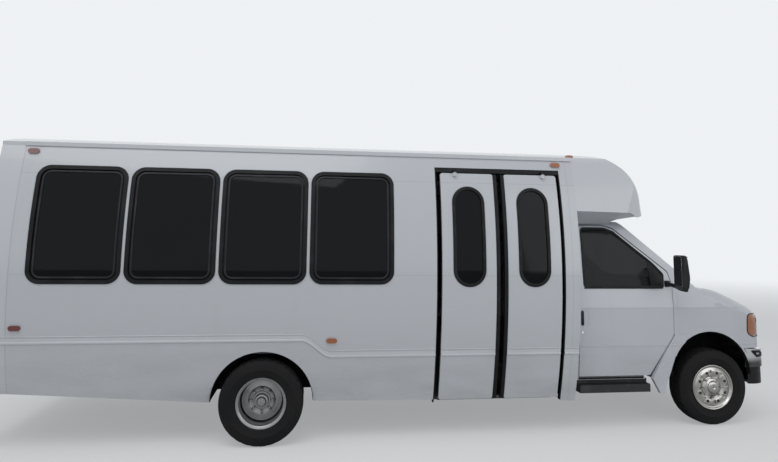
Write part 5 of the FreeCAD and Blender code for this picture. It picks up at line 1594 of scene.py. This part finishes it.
class MINIBUS_OT_rear(bpy.types.Operator):
    """Rear door rubbers, handle and the blank plate"""

    bl_idname = "minibus.rear"
    bl_label = "Rear fittings"

    def execute(self, context):
        skin = ("rear_door", "rear_door_glass", "rear_cap")
        way = (1, 0, 0)
        ring = wrap("rear_glass_rubber", behind(rounded(inset_outline(REAR_GLASS, -0.010), 7)),
                    behind(rounded(inset_outline(REAR_GLASS, 0.022), 7)), 0.008, skin, way)
        door_ring = wrap("rear_door_rubber", behind(rounded(inset_outline(REAR_DOOR, 0.001), 7)),
                         behind(rounded(inset_outline(REAR_DOOR, 0.010), 7)), 0.004, ("rear_door",), way,
                         0.001)
        paint(join("rear_door_rubbers", [ring, door_ring]), LOOK["black_rubber"], "rubber",
              "rear_door_body")
        plate = slab("rear_handle_plate", [(REAR_WALL + 0.001, y, z) for y, z in rounded(
            [(-0.375, 1.235, 0.016), (-0.255, 1.235, 0.016), (-0.255, 1.315, 0.016),
             (-0.375, 1.315, 0.016)])], (-0.006, 0, 0), 0.002)
        lever = slab("rear_handle_lever", [(REAR_WALL - 0.005, y, z) for y, z in rounded(
            [(-0.362, 1.262, 0.009), (-0.268, 1.262, 0.009), (-0.268, 1.288, 0.009),
             (-0.362, 1.288, 0.009)])], (-0.016, 0, 0), 0.004)
        paint(join("rear_handle", [plate, lever]), LOOK["black_plastic"], "black_plastic",
              "rear_door_body")
        blank = slab("blank_plate", [(REAR_WALL - 0.001, y, z) for y, z in rounded(
            [(0.608, 0.824, 0.012), (0.912, 0.824, 0.012), (0.912, 0.976, 0.012),
             (0.608, 0.976, 0.012)])], (-0.002, 0, 0), 0.0006, 1)
        paint(blank, LOOK["plate_blank"], "body_paint", "bus")
        return {"FINISHED"}


def pad_block(name, low, high, crown, channels):
    """Upholstered block: crowned faces, waisted sides and sewn channels across it."""
    piece = start_box(name, low, high)
    size = [b - a for a, b in zip(low, high)]
    middle = Vector([(a + b) / 2 for a, b in zip(low, high)])
    edit(piece)
    bpy.ops.mesh.subdivide(number_cuts=11)
    close_edit()
    for vertex in piece.data.vertices:
        u, v, w = [2 * (c - m) / d for c, m, d in zip(vertex.co, middle, size)]
        swell = [(1 - a * a) * (1 - b * b) for a, b in ((v, w), (u, w), (u, v))]
        waist = 1 - 0.030 * (u * u + v * v + w * w) / 3
        channel = math.exp(-((abs(v) % (2.0 / channels)) / 0.05) ** 2) if channels else 0.0
        pull = crown * (1 - 0.75 * channel)
        vertex.co = Vector([m + (c - m) * waist + s * pull * (1 if a > 0.98 else -1 if a < -0.98 else 0)
                            for m, c, s, a in zip(middle, vertex.co, swell, (u, v, w))])
    modify(piece, "SUBSURF", levels=1, render_levels=1)
    smooth(piece, 1.2)
    return piece


def piping(name, low, high, radius, level):
    """Sewn edge cord around a cushion at one height."""
    x0, x1, y0, y1 = low[0] + 0.012, high[0] - 0.012, low[1] + 0.012, high[1] - 0.012
    path = [(x0, y0, level), ((x0 + x1) / 2, y0 - 0.004, level), (x1, y0, level),
            (x1 + 0.004, (y0 + y1) / 2, level), (x1, y1, level), ((x0 + x1) / 2, y1 + 0.004, level),
            (x0, y1, level), (x0 - 0.004, (y0 + y1) / 2, level)]
    return tube(name, path, radius, True, 3)


class MINIBUS_OT_seats(bpy.types.Operator):
    """Upholstered benches and cab seats on their frames"""

    bl_idname = "minibus.seats"
    bl_label = "Seats"

    def execute(self, context):
        look = context.scene.minibus_seats
        x = BENCH_FIRST
        z = FLOOR_TOP
        cushion = pad_block("bench_cushion", (x + 0.004, -1.056, z + 0.345), (x + 0.446, -0.304, z + 0.445),
                            look.crown * 0.5, 2)
        back = pad_block("bench_back", (x - 0.010, -1.056, z + 0.350), (x + 0.070, -0.304, z + 1.050),
                         look.crown * 0.5, 2)
        for vertex in back.data.vertices:
            vertex.co.x -= (vertex.co.z - (z + 0.350)) * 0.070
        frame_bars = []
        for y in (-0.93, -0.45):
            frame_bars.append(tube("leg", [(x + 0.10, y, z), (x + 0.13, y, z + 0.12),
                                           (x + 0.15, y, z + 0.335)], 0.016))
            frame_bars.append(tube("leg", [(x + 0.36, y, z), (x + 0.33, y, z + 0.12),
                                           (x + 0.31, y, z + 0.335)], 0.016))
            frame_bars.append(tube("foot", [(x + 0.06, y, z + 0.012), (x + 0.23, y, z + 0.012),
                                            (x + 0.40, y, z + 0.012)], 0.012))
        frame_bars.append(tube("rail", [(x + 0.03, -1.03, z + 0.338), (x + 0.03, -0.68, z + 0.338),
                                        (x + 0.03, -0.33, z + 0.338)], 0.014))
        frame_bars.append(tube("rail", [(x + 0.41, -1.03, z + 0.338), (x + 0.41, -0.68, z + 0.338),
                                        (x + 0.41, -0.33, z + 0.338)], 0.014))
        frame_bars.append(tube("grab", [(x - 0.060, -0.97, z + 1.04), (x - 0.082, -0.96, z + 1.085),
                                        (x - 0.082, -0.40, z + 1.085), (x - 0.060, -0.39, z + 1.04)],
                               0.011))
        base = join("bench_frame", frame_bars)
        seam = piping("bench_piping", (x + 0.004, -1.056, 0), (x + 0.446, -0.304, 0), 0.005, z + 0.425)

        stock = {"cushions": (cushion, "seat_cloth", "seat_fabric"),
                 "backs": (back, "seat_cloth", "seat_fabric"),
                 "frames": (base, "frame_paint", "frame_black"),
                 "piping": (seam, "black_rubber", "rubber")}
        for kind, (first, finish, slot) in stock.items():
            pieces = [copy(first, "%s_%d" % (kind, i), (i * BENCH_PITCH, 0, 0))
                      for i in range(look.benches_right)]
            pieces += [mirrored(copy(first, "%s_row_%d" % (kind, i), (i * BENCH_PITCH, 0, 0)),
                                "%s_left_%d" % (kind, i)) for i in range(look.benches_left)]
            for spare in [o for o in bpy.data.objects if o.name.startswith(kind + "_row_")]:
                bpy.data.objects.remove(spare)
            bpy.data.objects.remove(first)
            whole = join("bench_" + kind, pieces)
            if kind == "cushions":
                paint(whole, LOOK[finish], slot, "bus", "seats")
            else:
                paint(whole, LOOK[finish], slot, "bus")
            slot == "seat_fabric"

        x = AXLE
        seat = pad_block("cab_cushion", (x - 1.235, -0.692, 1.012), (x - 0.840, -0.248, 1.125),
                         look.crown * 0.5, 0)
        rest = pad_block("cab_back", (x - 1.245, -0.685, 1.125), (x - 1.150, -0.255, 1.690),
                         look.crown * 0.5, 0)
        for vertex in rest.data.vertices:
            vertex.co.x -= (vertex.co.z - 1.125) * 0.170
        right = join("cab_seat_right", [seat, rest])
        paint(right, LOOK["seat_cloth"], "seat_fabric", "bus")
        left = both_sides(right, "cab_seat_left", "bus", LOOK["seat_cloth"], "seat_fabric")
        riser = start_box("cab_seat_riser", (x - 1.190, -0.615, 0.741), (x - 0.910, -0.325, 1.010))
        edit(riser, "FACE", lambda c, n: n.z > 0.9)
        bpy.ops.transform.resize(value=(1.18, 1.22, 1.0), center_override=(x - 1.05, -0.47, 1.010))
        bpy.ops.mesh.inset(thickness=0.02)
        close_edit()
        bevel(riser, 0.008, 2)
        paint(riser, LOOK["frame_paint"], "frame_black", "bus")
        both_sides(riser, "cab_seat_riser_left", "bus", LOOK["frame_paint"], "frame_black")
        return {"FINISHED"}


class MINIBUS_OT_step_trim(bpy.types.Operator):
    """Step nosings and grab rails inside the entrance"""

    bl_idname = "minibus.step_trim"
    bl_label = "Entrance steps"

    def execute(self, context):
        rise = (FLOOR_TOP - 0.335) / 2
        noses = []
        for i in range(3):
            y, z = -0.930 + 0.232 * i, 0.335 + rise * i
            if i < 2:
                nose = slab("step_nose_%d" % i, [(ENTRY[0] + 0.06, y - 0.0015, z - 0.030 + 0.0),
                                                 (ENTRY[0] + 0.06, y - 0.0015, z + 0.0015),
                                                 (ENTRY[0] + 0.06, y + 0.045, z + 0.0015),
                                                 (ENTRY[0] + 0.06, y + 0.045, z - 0.0005),
                                                 (ENTRY[0] + 0.06, y + 0.0005, z - 0.0005),
                                                 (ENTRY[0] + 0.06, y + 0.0005, z - 0.030)],
                            (ENTRY[1] - ENTRY[0] - 0.12, 0, 0))
                noses.append(nose)
        paint(join("step_noses", noses), LOOK["step_edge"], "bright_cover", "bus")
        rails = []
        for x in (ENTRY[0] + 0.075, ENTRY[1] - 0.075):
            rails.append(tube("grab_rail", [(x, -0.62, 0.845), (x, -0.62, 1.05), (x, -0.64, 1.35),
                                            (x, -0.80, 1.62), (x, -0.92, 1.72)], 0.0155))
        paint(join("entrance_rails", rails), LOOK["chrome"], "chrome", "bus")
        return {"FINISHED"}


class MINIBUS_PT_panel(bpy.types.Panel):
    """Sizes of the minibus trim, and the steps that make it"""

    bl_label = "Minibus"
    bl_idname = "MINIBUS_PT_panel"
    bl_space_type = "VIEW_3D"
    bl_region_type = "UI"
    bl_category = "Minibus"

    def draw(self, context):
        scene = context.scene
        for group in (scene.minibus_stage, scene.minibus_wheels, scene.minibus_trim,
                      scene.minibus_seats):
            for name in group.__annotations__:
                self.layout.prop(group, name)
        for step in STEPS:
            self.layout.operator(step.bl_idname)


STEPS = (MINIBUS_OT_stage, MINIBUS_OT_finishes, MINIBUS_OT_belt, MINIBUS_OT_entrance,
         MINIBUS_OT_sashes, MINIBUS_OT_cab_trim, MINIBUS_OT_screen, MINIBUS_OT_mirrors,
         MINIBUS_OT_lamps, MINIBUS_OT_nose, MINIBUS_OT_covers, MINIBUS_OT_rear, MINIBUS_OT_seats,
         MINIBUS_OT_step_trim, MINIBUS_OT_tyres, MINIBUS_OT_wheels)
GROUPS = (("minibus_stage", StageSettings), ("minibus_wheels", WheelSettings),
          ("minibus_trim", TrimSettings), ("minibus_seats", SeatSettings))


def register():
    for name, group in GROUPS:
        bpy.utils.register_class(group)
        setattr(bpy.types.Scene, name, bpy.props.PointerProperty(type=group))
    for step in STEPS:
        bpy.utils.register_class(step)
    bpy.utils.register_class(MINIBUS_PT_panel)


def unregister():
    bpy.utils.unregister_class(MINIBUS_PT_panel)
    for step in reversed(STEPS):
        bpy.utils.unregister_class(step)
    for name, group in reversed(GROUPS):
        delattr(bpy.types.Scene, name)
        bpy.utils.unregister_class(group)


def dress():
    """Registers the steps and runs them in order."""
    register()
    for step in STEPS:
        family, action = step.bl_idname.split(".")
        getattr(getattr(bpy.ops, family), action)()


if __name__ == "__main__":
    dress()
